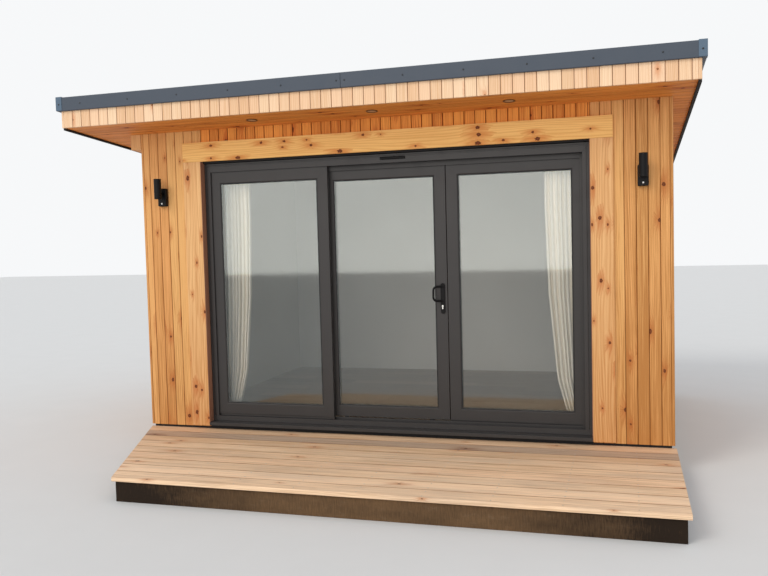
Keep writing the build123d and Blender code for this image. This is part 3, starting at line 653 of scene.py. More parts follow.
def cloth_finish():
    """Plain-woven curtain cloth: two sine weaves crossing, slubs along them and a faint stripe."""
    f = Finish("sage_cream_cloth")
    u, w, _ = f.parts(f.grain())
    warp = (u * 5400).sine() * 0.5 + 0.5
    weft = (w * 5400).sine() * 0.5 + 0.5
    slub = f.drawn(u * 700, w * 40, 0.0, 2.0, 0.6) + f.drawn(u * 40, w * 700, 0.0, 2.0, 0.6)
    stripe = ((u * 62).sine() * 0.5 + 0.5).between(0.55, 0.95)
    body = f.mix(slub * 0.5, (0.93, 0.83, 0.67), (0.98, 0.91, 0.78))
    colour = f.mix(stripe * 0.08, body, (0.72, 0.70, 0.50))
    return f.close(colour, 0.88, height=warp * weft + slub * 0.6, depth=0.0004, Sheen_Weight=0.25)


def glass_finish():
    """Clear glazing: mostly open to what lies behind, with a mirror skin that grows at a glancing angle."""
    f = Finish("clear_glazing")
    glance = f.add("ShaderNodeFresnel", None, {"IOR": 1.5})
    smear = f.noise(f.place(), 3.0, 4.0, 0.6)
    opacity = glance * 0.85 + 0.055 + (smear - 0.5) * 0.02
    return f.close((0.80, 0.86, 0.85), 0.025 + smear * 0.03, 1.0, Alpha=opacity)


def lens_finish():
    """Frosted lamp lens, pale in itself, with fine ribs in rings; its dark brown colour is painted shade."""
    f = Finish("frosted_lens_painted_shade")
    ripple = f.noise(f.place(), 420.0, 2.0, 0.5)
    return f.close(f.mix(ripple, (0.30, 0.19, 0.11), (0.42, 0.29, 0.18)), 0.32, height=ripple, depth=0.0005)


membrane_skin = membrane_finish()
laminate = laminate_finish()
curtain_cloth = cloth_finish()
glazing = glass_finish()
frosted_lens_painted_shade = lens_finish()


def dress(finish, *names):
    """Gives carried-over nodes their finish."""
    for name in names:
        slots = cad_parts[name].data.materials
        slots.clear()
        slots.append(finish)


dress(sawn_wood, "base_beams", "base_joists", "deck_joists")
dress(laminate, "floor")
dress(wall_finish(), "front_wall_sides", "front_wall_head", "side_walls", "back_wall")
dress(room_paint, "roof_panel")
dress(membrane_skin, "roof_membrane")
# Painted shadow: the door sole under the sill and the side drip strips are black for the shadow lines there.
dress(black_painted_shadow, "door_sole", "side_drip_strips")
dress(dark_plastic, "leaf_rollers")
dress(anthracite_moulding, "left_leaf_interlock", "sliding_leaf_interlock")

# Timber skins: upright tongue-and-groove boards with V joints
hair = 0.0004


def boarded(name, finish, slot, node, runs, pitch, thick, bevel, gap, foot, head):
    """A piece of upright boards, side by side. Each run has its start and end, the place of one joint, its
    base and the ways across and out. Foot and head give the heights of the boards' ends at a depth y."""
    shape = Shape()
    for start, end, first, base, across, out in runs:
        edges = joints(start, end, first, pitch)
        section = board_section(np.diff(edges), thick, bevel, gap)
        origin = base + edges[:-1, None] * across
        y = (origin[:, None] + section[..., :1] * across + section[..., 1:] * out)[..., 1]
        carry(shape, section, origin, Z, across, out, foot(y), head(y), draw.uniform(0, 1, len(section)))
    shape.make(name, finish, slot, node)


def at_height(height):
    """A foot or head that lies at one height all along."""
    return lambda y: np.full_like(y, height)


wall_face = {"pitch": board_pitch, "thick": skin, "bevel": board_bevel, "gap": board_gap,
             "head": lambda y: soffit(y) - hair}
wall_foot = at_height(skin_low)
on_front = (first_joint, wall_front * Y, X, -Y)
boarded("front_cladding_boards", cladding, "cladding", "front_cladding_sides",
        [(-panel_out, -opening_half, *on_front), (opening_half, panel_out, *on_front)],
        foot=wall_foot, **wall_face)
header_lap = 0.006
boarded("frieze_boards", frieze_shade_wood, "cladding", "front_cladding_head",
        [(-opening_half, opening_half, *on_front)],
        foot=at_height(low("door_trim_head")[2] + header_lap), **wall_face)
boarded("side_cladding_boards", side_cladding, "cladding", "side_cladding",
        [(front, back, front + board_pitch, side * panel_out * X, Y, side * X) for side in (-1, 1)],
        foot=wall_foot, **wall_face)
boarded("back_cladding_boards", cladding, "cladding", "back_cladding",
        [(-panel_out, panel_out, first_joint, (back - skin) * Y, X, Y)], foot=wall_foot, **wall_face)

# Timber trims round the doorway, with eased edges
trim_out = high("door_trim_head")[0]
header_low, header_high = span("door_trim_head", 2)
trim_thick = front - low("door_trim_head")[1]
trim_width = header_high - header_low
trim_ease = 0.0022
trim_section = block(0, trim_width, 0, trim_thick, trim_ease)
piece_of(carry, "header_board", header_wood, "trim_boards", "door_trim_head",
         (trim_section, (0, front, header_low), X, Z, -Y, -trim_out, trim_out, 0.45))
jamb_foot, jamb_head = low("door_trim_sides")[2], header_low - 2 * hair
piece_of(carry, "jamb_boards", jamb_wood, "trim_boards", "door_trim_sides",
         (trim_section, [(-trim_out, front, 0), (opening_half, front, 0)], Z, X, -Y, jamb_foot, jamb_head,
          np.array([0.4, 0.6])))
# Thin timber linings on the reveals, coloured with the reveals' painted shade.
lining_thick, lining_inset = 0.0045, 0.001
lining_section = block(front - trim_thick + lining_inset, low("door_frame_head")[1] - hair,
                       opening_half - lining_thick, opening_half - hair, 0.001)
piece_of(carry, "reveal_linings", reveal_shade_board, "trim_boards", None,
         *((lining_section, (0, 0, 0), Z, Y, side * X, jamb_foot, jamb_head, 0.4) for side in (-1, 1)))

# Canopy: short fascia boards, the side ones lapping the ends of the front ones
fascia_rise = high("front_fascia")[2] - soffit(roof_front)
fascia_face = {"pitch": fascia_pitch, "thick": fascia_thick, "bevel": fascia_bevel, "gap": fascia_gap,
               "foot": soffit, "head": lambda y: soffit(y) + fascia_rise - hair}
across_roof = (inner_left, inner_right, inner_left + fascia_pitch)
boarded("front_fascia_boards", fascia_wood, "fascia_boards", "front_fascia",
        [(*across_roof, inner_front * Y, X, -Y)], **fascia_face)
boarded("side_fascia_boards", side_fascia_wood, "fascia_boards", "side_fascias",
        [(roof_front, roof_back, roof_front + fascia_pitch, place * X, Y, side * X)
         for place, side in ((inner_left, -1), (inner_right, 1))], **fascia_face)
boarded("rear_fascia_boards", fascia_wood, "fascia_boards", "rear_fascia",
        [(*across_roof, inner_back * Y, X, Y)], **fascia_face)

# Soffits: boards that run across the front, and short ones at the sides, all on the roof's slope
soffit_thick = high("front_soffit")[2] - soffit(inner_front)
down_slope = Y - roof_slope * Z
soffit_base = (soffit(0.0) + soffit_thick) * Z


def soffit_boards(name, node, *areas):
    """A piece of boards that run along x, for areas with their start and end in y and in x."""
    shape = Shape()
    for y_start, y_end, x_start, x_end in areas:
        edges = joints(y_start, y_end, inner_front + fascia_pitch, fascia_pitch)
        section = board_section(np.diff(edges), soffit_thick, fascia_bevel, fascia_gap)
        tints = draw.uniform(0, 1, len(section))
        carry(shape, section, soffit_base + edges[:-1, None] * down_slope, X, down_slope, -Z,
              x_start, x_end, tints)
    shape.make(name, soffit_shade_wood, "soffit_boards", node)


soffit_boards("front_soffit_boards", "front_soffit", (inner_front, wall_front, inner_left, inner_right))
soffit_boards("side_soffit_boards", "side_soffits", (wall_front, back - skin, inner_left, -panel_out),
              (wall_front, back - skin, panel_out, inner_right))
soffit_boards("rear_soffit_boards", "rear_soffit", (back - skin, inner_back, inner_left, inner_right))

# Boxed batten under the left soffit: an outer board, a bottom board and a cap at each end
batten_width = -half_width - low("left_eaves_batten")[0]
batten_height, batten_board, batten_ease = 0.120, 0.018, 0.002
batten_base = soffit(0.0) * Z - half_width * X
board_in, board_up = -batten_width + batten_board, -batten_height + batten_board
batten_runs = [(section, batten_base, down_slope, X, Z, start, end) for section, start, end in (
    (block(-batten_width, board_in, -batten_height, -hair, batten_ease), front, back),
    (block(board_in, -hair, -batten_height, board_up, batten_ease), front, back),
    (rectangle(board_in, -hair, board_up, -hair), front, front + batten_board),
    (rectangle(board_in, -hair, board_up, -hair), back - batten_board, back),
)]
piece_of(carry, "left_eaves_boards", jamb_wood, "cladding", "left_eaves_batten", *batten_runs)

# Roof edge: folded grey sheet over the fascia, with corner caps, a butt joint and screws
edge_front = low("roof_trim_front")[1]
edge_left, edge_right = span("roof_trim_sides", 0)
corners = ((edge_left, -1), (edge_right, 1))
edge_low, edge_high = 0.125, 0.231
kerb_low = high("roof_membrane")[2] - soffit(roof_front)
kerb = 0.060
trim_joint, joint_gap = -0.16, 0.0015
fold = 0.006


def edge_section(outer, inner, turn):
    """The folded sheet in (place, height over the soffit): an outer leg and a kerb that turn inwards."""
    points = [(outer, edge_low), (inner, edge_low), (inner, kerb_low), (inner + turn * kerb, kerb_low),
              (inner + turn * kerb, edge_high), (outer, edge_high)]
    return rounded(points, fold, 3)


front_section = edge_section(edge_front, roof_front, 1)
front_section[:, 1] += soffit(front_section[:, 0])
piece_of(carry, "front_roof_edge", trim_coat, "roof_trim", "roof_trim_front",
         *(along_x(front_section, start, end)
           for start, end in ((roof_left, trim_joint - joint_gap), (trim_joint + joint_gap, roof_right))))
runs = []
for outer, inner, turn in ((edge_left, roof_left, 1), (edge_right, roof_right, -1)):
    leg = block(*sorted((outer, inner)), edge_low, edge_high, fold, 3)
    runs.append((leg, soffit(0.0) * Z, down_slope, X, Z, edge_front, roof_front + kerb))
    section = edge_section(outer, inner, turn)
    runs.append((section, soffit(0.0) * Z, down_slope, X, Z, roof_front + kerb, roof_back))
piece_of(carry, "side_roof_edges", trim_coat, "roof_trim", "roof_trim_sides", *runs)

cap_reach, cap_thick, cap_lift = 0.050, 0.003, 0.004
cap_front, cap_end = edge_front - cap_thick, edge_front + cap_reach
runs = []
for corner, side in corners:
    outer = corner + side * cap_thick
    inner = corner - side * cap_reach
    leg = [(outer, cap_front), (outer, cap_end), (corner, cap_end), (corner, edge_front),
           (inner, edge_front), (inner, cap_front)]
    top = [(outer, cap_front), (outer, cap_end), (inner, cap_end), (inner, cap_front)]
    for outline, soft, start, rise in (
        (leg, 0.0025, edge_low + cap_lift, edge_high - edge_low - cap_lift),
        (top, 0.004, edge_high, cap_thick),
    ):
        outline = rounded(outline, soft, 3)
        start = (soffit(outline[:, 1]) + start)[None]
        runs.append((outline, (0, 0, 0), Z, X, Y, start, start + rise))
piece_of(carry, "roof_cap_sheets", cap_coat, "roof_trim", "roof_corner_caps", *runs)

screw_head = np.array([(0.0066, 0), (0.0066, 0.0010), (0.0052, 0.0021), (0.0024, 0.0026), (0.0008, 0.0027)])
screw_pitch, screw_rise, joint_margin, end_margin = 0.42, edge_low + 0.052, 0.03, 0.1
first_screw, last_margin = 0.25, 0.05
places = np.concatenate([
    np.arange(trim_joint - joint_margin, edge_left + end_margin, -screw_pitch),
    np.arange(trim_joint + joint_margin, edge_right - end_margin, screw_pitch),
])
screw_height = soffit(roof_front) + screw_rise
centres = np.stack([places, np.full_like(places, edge_front), np.full_like(places, screw_height)], 1)
runs = [(screw_head, centres, -Y, 12)]
for corner, side in corners:
    runs.append((screw_head, (corner - side * cap_reach / 2, cap_front, screw_height), -Y, 12))
    depths = np.arange(roof_front + first_screw, roof_back - last_margin, screw_pitch)
    centres = np.stack([np.full_like(depths, corner), depths, soffit(depths) + screw_rise], 1)
    runs.append((screw_head, centres, side * X, 12))
piece_of(turned, "roof_edge_screws", trim_screw, "roof_trim", None, *runs)

# Rear gutter with a rolled lip and straps, and a downpipe with collars and clips
gutter_low, gutter_high = low("rear_gutter"), high("rear_gutter")
wall = 0.003
gy, gz = gutter_low[1], gutter_low[2]
strap_thick = 0.002
ty, tz = gutter_high[1] - strap_thick, gutter_high[2]
outside = rounded([(gy, tz), (gy, gz), (ty, gz), (ty, tz), (ty - 0.004, tz), (ty - 0.010, tz - 0.004),
                   (ty - 0.010, tz - 0.010), (ty - wall, tz - 0.012), (ty - wall, gz + wall),
                   (gy + wall, gz + wall), (gy + wall, tz)], 0.006, 3)
closed_end = block(gy, ty, gz, tz, 0.006, 3)
strap_low, strap_back, strap_high = gz - strap_thick, ty + strap_thick, tz + strap_thick
strap_count, strap_width, strap_inset, strap_hook = 7, 0.024, 0.15, 0.012
strap = rounded([(gy, strap_low), (strap_back, strap_low), (strap_back, strap_high),
                 (ty - strap_hook, strap_high), (ty - strap_hook, tz), (ty, tz), (ty, gz), (gy, gz)],
                0.0008)
starts = np.linspace(gutter_low[0] + strap_inset, gutter_high[0] - strap_inset, strap_count)
piece_of(carry, "rear_gutter_run", black_gutter, "gutter", "rear_gutter",
         along_x(outside, gutter_low[0], gutter_high[0]),
         along_x(closed_end, gutter_low[0], gutter_low[0] + wall),
         along_x(closed_end, gutter_high[0] - wall, gutter_high[0]),
         along_x(strap, starts, starts + strap_width))


def bent(points, radius, steps=7):
    """An open line whose inner corners are rounded."""
    points = np.asarray(points, float)
    line = rounded(points, radius, steps).reshape(len(points), steps + 1, 3)
    return np.concatenate([points[:1], line[1:-1].reshape(-1, 3), points[-1:]])


pipe_radius, collar = 0.034, 0.0385
pipe_x = sum(span("rear_downpipe", 0)) / 2
pipe_out_y, pipe_wall_y = (gy + ty) / 2, back + 0.012 + pipe_radius
pipe_drop, pipe_offset, pipe_foot, pipe_kick = 0.090, 0.150, 0.110, 0.070
pipe_line = bent([
    (pipe_x, pipe_out_y, gz),
    (pipe_x, pipe_out_y, gz - pipe_drop),
    (pipe_x, pipe_wall_y, gz - pipe_drop - pipe_offset),
    (pipe_x, pipe_wall_y, pipe_foot + pipe_kick),
    (pipe_x, pipe_wall_y + pipe_kick, pipe_foot),
], 0.05)
downpipe = Shape()
tube(downpipe, pipe_line, pipe_radius, 28)
half_collar, collar_off, clip_off = 0.03, 0.06, 0.24
collar_profile = [(pipe_radius, -half_collar), (collar, -half_collar), (collar, half_collar),
                  (collar - 0.001, 0.032), (pipe_radius, 0.032)]
collars = [(pipe_x, pipe_out_y, gz - 0.045),
           (pipe_x, pipe_wall_y, gz - pipe_drop - pipe_offset - collar_off),
           (pipe_x, pipe_wall_y, pipe_foot + pipe_kick + collar_off)]
turned(downpipe, collar_profile, collars, Z, 28)
clip_low, clip_high = pipe_foot + pipe_kick + clip_off, gz - pipe_drop - pipe_offset - clip_off
clip_height, clip_foot = 0.028, 0.008
clip_zs = np.linspace(clip_low, clip_high, 3)
band = [(pipe_radius, 0), (collar, 0), (collar, clip_height), (pipe_radius, clip_height)]
turned(downpipe, band, [(pipe_x, pipe_wall_y, z) for z in clip_zs], Z, 28)
foot_plate = block(-0.042, 0.042, 0, clip_height, 0.004, 3)
stem = block(-0.012, 0.012, 0.004, clip_height - 0.004, 0.002, 2)
for section, start, end in ((foot_plate, 0, clip_foot), (stem, 0.006, 0.018)):
    carry(downpipe, section, [(pipe_x, back, z) for z in clip_zs], Y, X, Z, start, end)
downpipe.make("rear_downpipe_run", black_gutter, "gutter", "rear_downpipe")
clip_screw = [(0.0035, 0), (0.0035, 0.002), (0.001, 0.0028)]
spots = [(pipe_x + dx, back + clip_foot, z + clip_height / 2) for z in clip_zs for dx in (-0.03, 0.03)]
piece_of(turned, "downpipe_screws", screw_steel, "gutter", None, (clip_screw, spots, Y, 10))

# Deck: eased boards with open joints, the left ends cut on a slant, on a dark riser
deck_left_front = -1.465
deck_thick = deck_top - high("deck_riser")[2]
grey_board = 7
slant = (deck_left_front + half_width) / (front - deck_front)
plank_ease, plank_least = 0.0045, 0.05
edges = joints(deck_front, wall_front, deck_front + deck_pitch, deck_pitch, plank_least)
for name, finish, chosen in (
    ("deck_planks", deck_wood, lambda i: i != grey_board),
    ("grey_deck_plank", grey_deck_wood, lambda i: i == grey_board),
):
    planks = Shape()
    for i in filter(chosen, range(len(edges) - 1)):
        start, end = edges[i], edges[i + 1] - (deck_gap if i < len(edges) - 2 else 0)
        section = block(start, end, 0, deck_thick, plank_ease, 3)
        left_ends = -half_width + slant * (front - section[:, 0])
        carry(planks, section, (deck_top - deck_thick) * Z, X, Y, Z, left_ends[None], deck_right,
              draw.uniform(0, 1))
    planks.make(name, finish, "deck_boards", "deck_boards")

riser_thick, riser_inset = 0.045, 0.022
riser_section = block(0, riser_thick, 0.0, deck_top - deck_thick - hair, 0.003)
riser_front = deck_front + riser_inset
riser_right = deck_right - riser_inset
edge_inset = riser_inset * math.hypot(1, slant)
front_left = -half_width + slant * (front - deck_front - riser_inset) + edge_inset
back_left = -half_width + slant * (front - wall_front) + edge_inset
left_run = np.array([back_left - front_left, wall_front - deck_front - riser_inset, 0])
left_length = np.linalg.norm(left_run)
left_along = left_run / left_length
mitre = riser_section[:, 0] * left_along[0] / left_along[1]
piece_of(carry, "deck_riser_boards", riser_finish(), "riser", "deck_riser",
         (riser_section, (front_left, riser_front, 0), X, Y, Z, (-mitre)[None] + hair,
          riser_right - front_left, 0.4),
         (riser_section, (front_left, riser_front, 0), left_along, np.cross(left_along, Z), Z,
          riser_thick / left_along[1] + hair, left_length, 0.7),
         (riser_section, (riser_right, riser_front, 0), Y, -X, Z, riser_thick + hair, left_run[1], 0.6))

deck_screw = np.array([(0.0042, 0), (0.0042, 0.0006), (0.003, 0.0009), (0.0009, 0.0004)])
joist_spacing, screw_inset, screw_sink = 0.4, 0.03, 0.0003
joist_xs = deck_right - riser_inset - riser_thick - (np.arange(8) + 0.5) * joist_spacing
runs = []
for start, end in zip(edges[:-1], edges[1:]):
    rows = (start + screw_inset, end - screw_inset - deck_gap)
    kept = joist_xs[joist_xs > -half_width + slant * (front - start) + screw_inset]
    spots = [(x, y, deck_top - screw_sink) for y in rows for x in kept if y < front - 0.01]
    runs.append((deck_screw, spots, Z, 10))
piece_of(turned, "deck_screws", screw_steel, "deck_boards", None, *runs)

# Door frame: two tracks between three lips, with a groove round the outer face and mitred corners
frame_front, frame_back = span("door_frame_head", 1)
frame_low, rail_z = low("door_threshold")[2], low("door_frame_jambs")[2]
jamb_high, frame_high = span("door_frame_head", 2)
door_half = high("door_frame_head")[0]
frame_web, frame_lip, track_width = 0.024, 0.008, 0.046
groove_width, groove_depth = 0.012, 0.006
head_face, jamb_face, jamb_inner = 0.067, 0.051, 0.072
head_inner = frame_high - jamb_high
outer_track = frame_front + frame_lip
middle_lip = outer_track + track_width
inner_track = middle_lip + frame_lip
back_lip = inner_track + track_width
softness = 0.0013


def frame_section(face, inner):
    """Points (depth, height) of the frame's profile: a web, three lips and a grooved outer face."""
    groove_back = frame_front + groove_depth
    points = [(frame_front, 0), (frame_back, 0), (frame_back, inner), (back_lip, inner),
              (back_lip, frame_web), (inner_track, frame_web), (inner_track, inner), (middle_lip, inner),
              (middle_lip, frame_web), (outer_track, frame_web), (outer_track, face), (frame_front, face),
              (frame_front, 2 * groove_width), (groove_back, 2 * groove_width),
              (groove_back, groove_width), (frame_front, groove_width)]
    return rounded(points, softness)


head_profile = frame_section(head_face, head_inner)
jamb_profile = frame_section(jamb_face, jamb_inner)
head_sizes, jamb_sizes = (0, head_face, head_inner), (0, jamb_face, jamb_inner)
head_cut = np.interp(head_profile[:, 1], head_sizes, jamb_sizes) + hair
jamb_cut = np.interp(jamb_profile[:, 1], jamb_sizes, head_sizes) + hair
head_ends, jamb_ends = (door_half - head_cut)[None], (frame_high - jamb_cut)[None]
piece_of(carry, "frame_head_profile", anthracite, "door_frame", "door_frame_head",
         (head_profile, frame_high * Z, X, Y, -Z, -head_ends, head_ends))
piece_of(carry, "frame_jamb_profiles", anthracite, "door_frame", "door_frame_jambs",
         *((jamb_profile, side * door_half * X, Z, Y, -side * X, rail_z + hair, jamb_ends)
           for side in (-1, 1)))

rail_width, threshold_base = 0.006, 0.014
base_z = frame_low + threshold_base
rails = []
for start, end in ((inner_track, back_lip), (outer_track, middle_lip)):
    rail_front, rail_back = (start + end - rail_width) / 2, (start + end + rail_width) / 2
    rails += [(end, rail_z), (end, base_z), (rail_back, base_z), (rail_back, rail_z),
              (rail_front, rail_z), (rail_front, base_z), (start, base_z), (start, rail_z)]
threshold_section = [(frame_front, frame_low), (frame_back, frame_low), (frame_back, rail_z), *rails,
                     (frame_front, rail_z)]
lip_half, lip_high = door_half - jamb_inner, high("door_threshold")[2]
raised_lip = block(middle_lip, inner_track, rail_z - softness, lip_high, softness)
piece_of(carry, "threshold_profile", anthracite, "door_frame", "door_threshold",
         along_x(rounded(threshold_section, softness), -door_half, door_half),
         along_x(raised_lip, -lip_half, lip_half))

sill_front, sole_top = low("door_sill")[1:]
drip_width, drip_depth, drip_setback, sill_fall = 0.006, 0.004, 0.008, 0.005
drip_start, drip_top = sill_front + drip_setback, sole_top + drip_depth
sill_section = [(sill_front, sole_top), (drip_start, sole_top), (drip_start, drip_top),
                (drip_start + drip_width, drip_top), (drip_start + drip_width, sole_top),
                (frame_back, sole_top), (frame_back, frame_low - hair), (frame_front, frame_low - hair),
                (sill_front, frame_low - sill_fall)]
piece_of(carry, "sill_profile", anthracite, "door_frame", "door_sill",
         along_x(rounded(sill_section, 0.002), -door_half, door_half))

# Door leaves: four mitred bars round a sealed unit, with a bevelled bead, a gasket and a spacer bar
leaf_thick, stile, top_rail, bottom_rail = 0.036, 0.090, 0.096, 0.088
bead, rebate, glass_front, glass_back = 0.007, 0.016, 0.006, 0.030
mitre_gap, pane_gap = 0.00025, 0.0002


def bar_section(width):
    """Points (in from the outer edge, depth) of a leaf's bar: flat face, the bead's slope, the rebate."""
    lip, rebate_front, rebate_back = width - 0.001, glass_front - pane_gap, glass_back + pane_gap
    points = [(0, 0), (width - bead, 0), (lip, rebate_front), (width - rebate, rebate_front),
              (width - rebate, rebate_back), (lip, rebate_back), (width, leaf_thick - 0.002),
              (width - 0.002, leaf_thick), (0, leaf_thick)]
    return rounded(points, 0.0015)


def mitred(shape, section, low_corner, high_corner, y, widths):
    """Four bars round a rectangle. The section is a function of the bar's width; each end is cut where the
    way along is to the way in as the neighbour's width is to its own."""
    (x_low, z_low), (x_high, z_high) = low_corner, high_corner
    side_width, foot_width, head_width = widths
    upright = section(side_width)
    foot_cut = upright[:, 0] * foot_width / side_width + mitre_gap
    head_cut = upright[:, 0] * head_width / side_width + mitre_gap
    for x, inward in ((x_low, X), (x_high, -X)):
        carry(shape, upright, (x, y, 0), Z, inward, Y, (z_low + foot_cut)[None], (z_high - head_cut)[None])
    for z, inward, width in ((z_low, Z, foot_width), (z_high, -Z, head_width)):
        level = section(width)
        cut = level[:, 0] * side_width / width + mitre_gap
        carry(shape, level, (0, y, z), X, inward, Y, (x_low + cut)[None], (x_high - cut)[None])


def gasket_section(turn):
    """A gasket's section as a function of the bar's width: a low lip that bulges to the turn's side."""
    return lambda width: rounded([(width - 0.004, 0), (width - 0.0025, turn * 0.0022),
                                  (width + 0.0035, turn * 0.0016), (width + 0.0055, 0)], 0.0006)


def spacer_section(width):
    return block(width - 0.010, width + 0.0035, 0.005, 0.019, 0.0008)


def leaf(name, body="pod", foot=None):
    """A leaf's frame, gasket and spacer, at the place of its node."""
    (x_low, y, _), (x_high, _, z_high) = low(name + "_frame"), high(name + "_frame")
    place = ((x_low, leaf_low), (x_high, z_high))
    widths = (stile, bottom_rail, top_rail)
    bars, seals, spacer = Shape(), Shape(), Shape()
    mitred(bars, bar_section, *place, y, widths)
    if foot is not None:
        foot_bar = block(y + foot_inset, y + leaf_thick - foot_inset, foot, leaf_low, 0.001)
        carry(bars, *along_x(foot_bar, x_low, x_high))
    bars.make(name + "_bars", anthracite, "door_frame", name + "_frame", body)
    for y_seal, turn in ((y + glass_front, -1), (y + glass_back, 1)):
        mitred(seals, gasket_section(turn), *place, y_seal, widths)
    seals.make(name + "_gasket", gasket_rubber, "door_frame", body=body)
    mitred(spacer, spacer_section, *place, y + glass_front, widths)
    spacer.make(name + "_spacer", spacer_bar, "door_frame", body=body)
    dress(glazing, name + "_glass")


foot_inset = 0.008
spacer_bar = coated("warm_grey_spacer", (0.30, 0.30, 0.29), 0.35, metallic=0.6)
leaf_low = low("sliding_leaf_frame")[2]
leaf("left_leaf", foot=rail_z)
leaf("right_leaf", foot=rail_z)
leaf("sliding_leaf", "sliding_leaf")

# Handle: a slim rounded plate and a cranked pull that stands clear of it
handle_x = sum(span("lock_cylinder", 0)) / 2
leaf_face = low("sliding_leaf_frame")[1]
plate_thick, plate_width = 0.009, 0.034
plate_low, plate_high = span("door_handle", 2)
handle_base = leaf_face - plate_thick
grip_low, grip_high, grip_side, grip_out, grip_bend = 1.187, 1.295, 0.062, 0.042, 0.036
bar_radius = 0.0080
handle = Shape()
plate(handle, slot_outline(plate_width, plate_high - plate_low),
      (handle_x, leaf_face, (plate_low + plate_high) / 2), X, Z, -Y, plate_thick, 0.003)
reach = np.array([handle_x - grip_side, handle_base - grip_out])
pull = bent([(handle_x, handle_base + 0.003, grip_high), (*reach, grip_high), (*reach, grip_low),
             (handle_x, handle_base + 0.003, grip_low)], grip_bend, 11)
tube(handle, pull, bar_radius, 24, Y)
boss = [(0.0115, 0), (0.0115, 0.003), (0.0105, 0.0045), (0.0085, 0.005)]
turned(handle, boss, [(handle_x, handle_base, z) for z in (grip_low, grip_high)], -Y, 28)
handle.make("pull_handle", black_coat, "black_metal", "door_handle", "sliding_leaf")

lock_z = sum(span("lock_cylinder", 2)) / 2
lock_front = low("lock_cylinder")[1]
lock = Shape()
lock_rise = handle_base - lock_front
rim = [(0.0078, 0), (0.0078, lock_rise - 0.001), (0.0071, lock_rise), (0.0056, lock_rise),
       (0.0054, lock_rise - 0.002), (0.0004, lock_rise - 0.002)]
turned(lock, rim, (handle_x, handle_base, lock_z), -Y, 28)
tail = block(-0.0047, 0.0047, -0.0235, -0.006, 0.0045, 5)
plate(lock, tail, (handle_x, handle_base, lock_z), X, Z, -Y, lock_rise - 0.0006, 0.0008)
half_plug = arc(0.0052, (0.0001, 0), -82, 82, 13)
for side in (-1, 1):
    carry(lock, half_plug, (handle_x, lock_front + 0.0021, lock_z), -Y, side * X, Z, 0, 0.0018)
lock.make("lock_face", lock_plate, "lock_metal", "lock_cylinder", "sliding_leaf")

# Trickle vent: a slim canopy with a ledge along its face and two end caps
vent_left, vent_front, vent_low = low("trickle_vent")
vent_right, vent_back, vent_high = high("trickle_vent")
canopy = [(vent_back, vent_low), (vent_back, vent_high), (vent_front + 0.006, vent_high),
          (vent_front, vent_high - 0.006), (vent_front, vent_low + 0.004), (vent_front + 0.003, vent_low)]
ledge = block(vent_front - 0.0006, vent_front + 0.002, vent_low + 0.0085, vent_low + 0.0105, 0.0004)
cap = rounded([(vent_back, vent_low), (vent_back, vent_high), (vent_front + 0.005, vent_high),
               (vent_front - 0.0006, vent_high - 0.006), (vent_front - 0.0006, vent_low)], 0.0015)
cap_width, canopy_inset, ledge_inset = 0.0045, 0.004, 0.012
cap_starts = np.array([vent_left, vent_right - cap_width])
cap_ends = np.array([vent_left + cap_width, vent_right])
piece_of(carry, "vent_canopy", black_coat, "black_metal", "trickle_vent",
         along_x(rounded(canopy, 0.0015), vent_left + canopy_inset, vent_right - canopy_inset),
         along_x(ledge, vent_left + ledge_inset, vent_right - ledge_inset),
         along_x(cap, cap_starts, cap_ends))

# Downlights: a dished ring round a frosted lens, square to the soffit
soffit_out = np.array([0, -roof_slope, -1]) / math.hypot(1, roof_slope)
ring_front, ring_back = span("downlights", 1)
light_y, ring_radius = (ring_front + ring_back) / 2, (ring_back - ring_front) / 2
downlight_xs = (-0.950, -0.005, 0.980)
centres = [(x, light_y, soffit(light_y)) for x in downlight_xs]
ring = [(ring_radius, 0), (ring_radius, 0.0028), (ring_radius - 0.0015, 0.0040),
        (ring_radius - 0.008, 0.0036), (ring_radius - 0.011, 0.0014), (ring_radius - 0.011, 0.0006),
        (0.001, 0.0006)]
piece_of(turned, "downlight_rings", satin_ring, "light_lens", "downlights", (ring, centres, soffit_out, 48))
lens = [(ring_radius - 0.0115, 0.0006), (ring_radius - 0.0125, 0.0018), (0.016, 0.0024), (0.001, 0.0026)]
piece_of(turned, "downlight_lenses", frosted_lens_painted_shade, "light_lens", None, (lens, centres, soffit_out, 40))

# Wall lights: an open tube on a soft-edged back plate, with a lens in each end and a sensor dome below
tube_radius, throat_radius, throat, lamp_low, lamp_height = 0.029, 0.024, 0.025, 2.030, 0.160
lamp_high = lamp_low + lamp_height
back_plate_low, back_plate_high, back_plate_width, back_plate_thick = 1.973, 2.117, 0.072, 0.034
lamp_x = high("wall_lights")[0] - back_plate_width / 2
lamp_y = low("wall_lights")[1] + tube_radius
lamps = Shape()
foot_end = [(0.0005, throat), (throat_radius, throat), (throat_radius, 0.001), (throat_radius + 0.001, 0),
            (tube_radius - 0.001, 0), (tube_radius, 0.001)]
shell = [(r, lamp_low + h) for r, h in foot_end] + [(r, lamp_high - h) for r, h in reversed(foot_end)]
turned(lamps, shell, [(x, lamp_y, 0) for x in (-lamp_x, lamp_x)], Z, 48)
half_plate = np.array([back_plate_width, back_plate_high - back_plate_low]) / 2
plate_outline = block(-half_plate[0], half_plate[0], -half_plate[1], half_plate[1], 0.010, 6)
arm_outline = block(-0.013, 0.013, -0.013, 0.013, 0.003, 3)
plate_middle = (back_plate_low + back_plate_high) / 2
arm_z, dome_rise = deck_top + 1.908, 0.022
lens_disc = [(throat_radius - 0.0005, 0), (throat_radius - 0.0005, 0.002), (0.012, 0.004), (0.0005, 0.0045)]
dome = arc(0.0065, (0.0003, 0), 0, 86, 7)
for x in (-lamp_x, lamp_x):
    plate(lamps, plate_outline, (x, front, plate_middle), X, Z, -Y, back_plate_thick, 0.004)
    carry(lamps, arm_outline, (x, 0, arm_z), Y, X, Z, lamp_y + tube_radius * 0.6,
          front - back_plate_thick + 0.004)
lamps.make("wall_light_bodies", black_coat, "black_metal", "wall_lights")
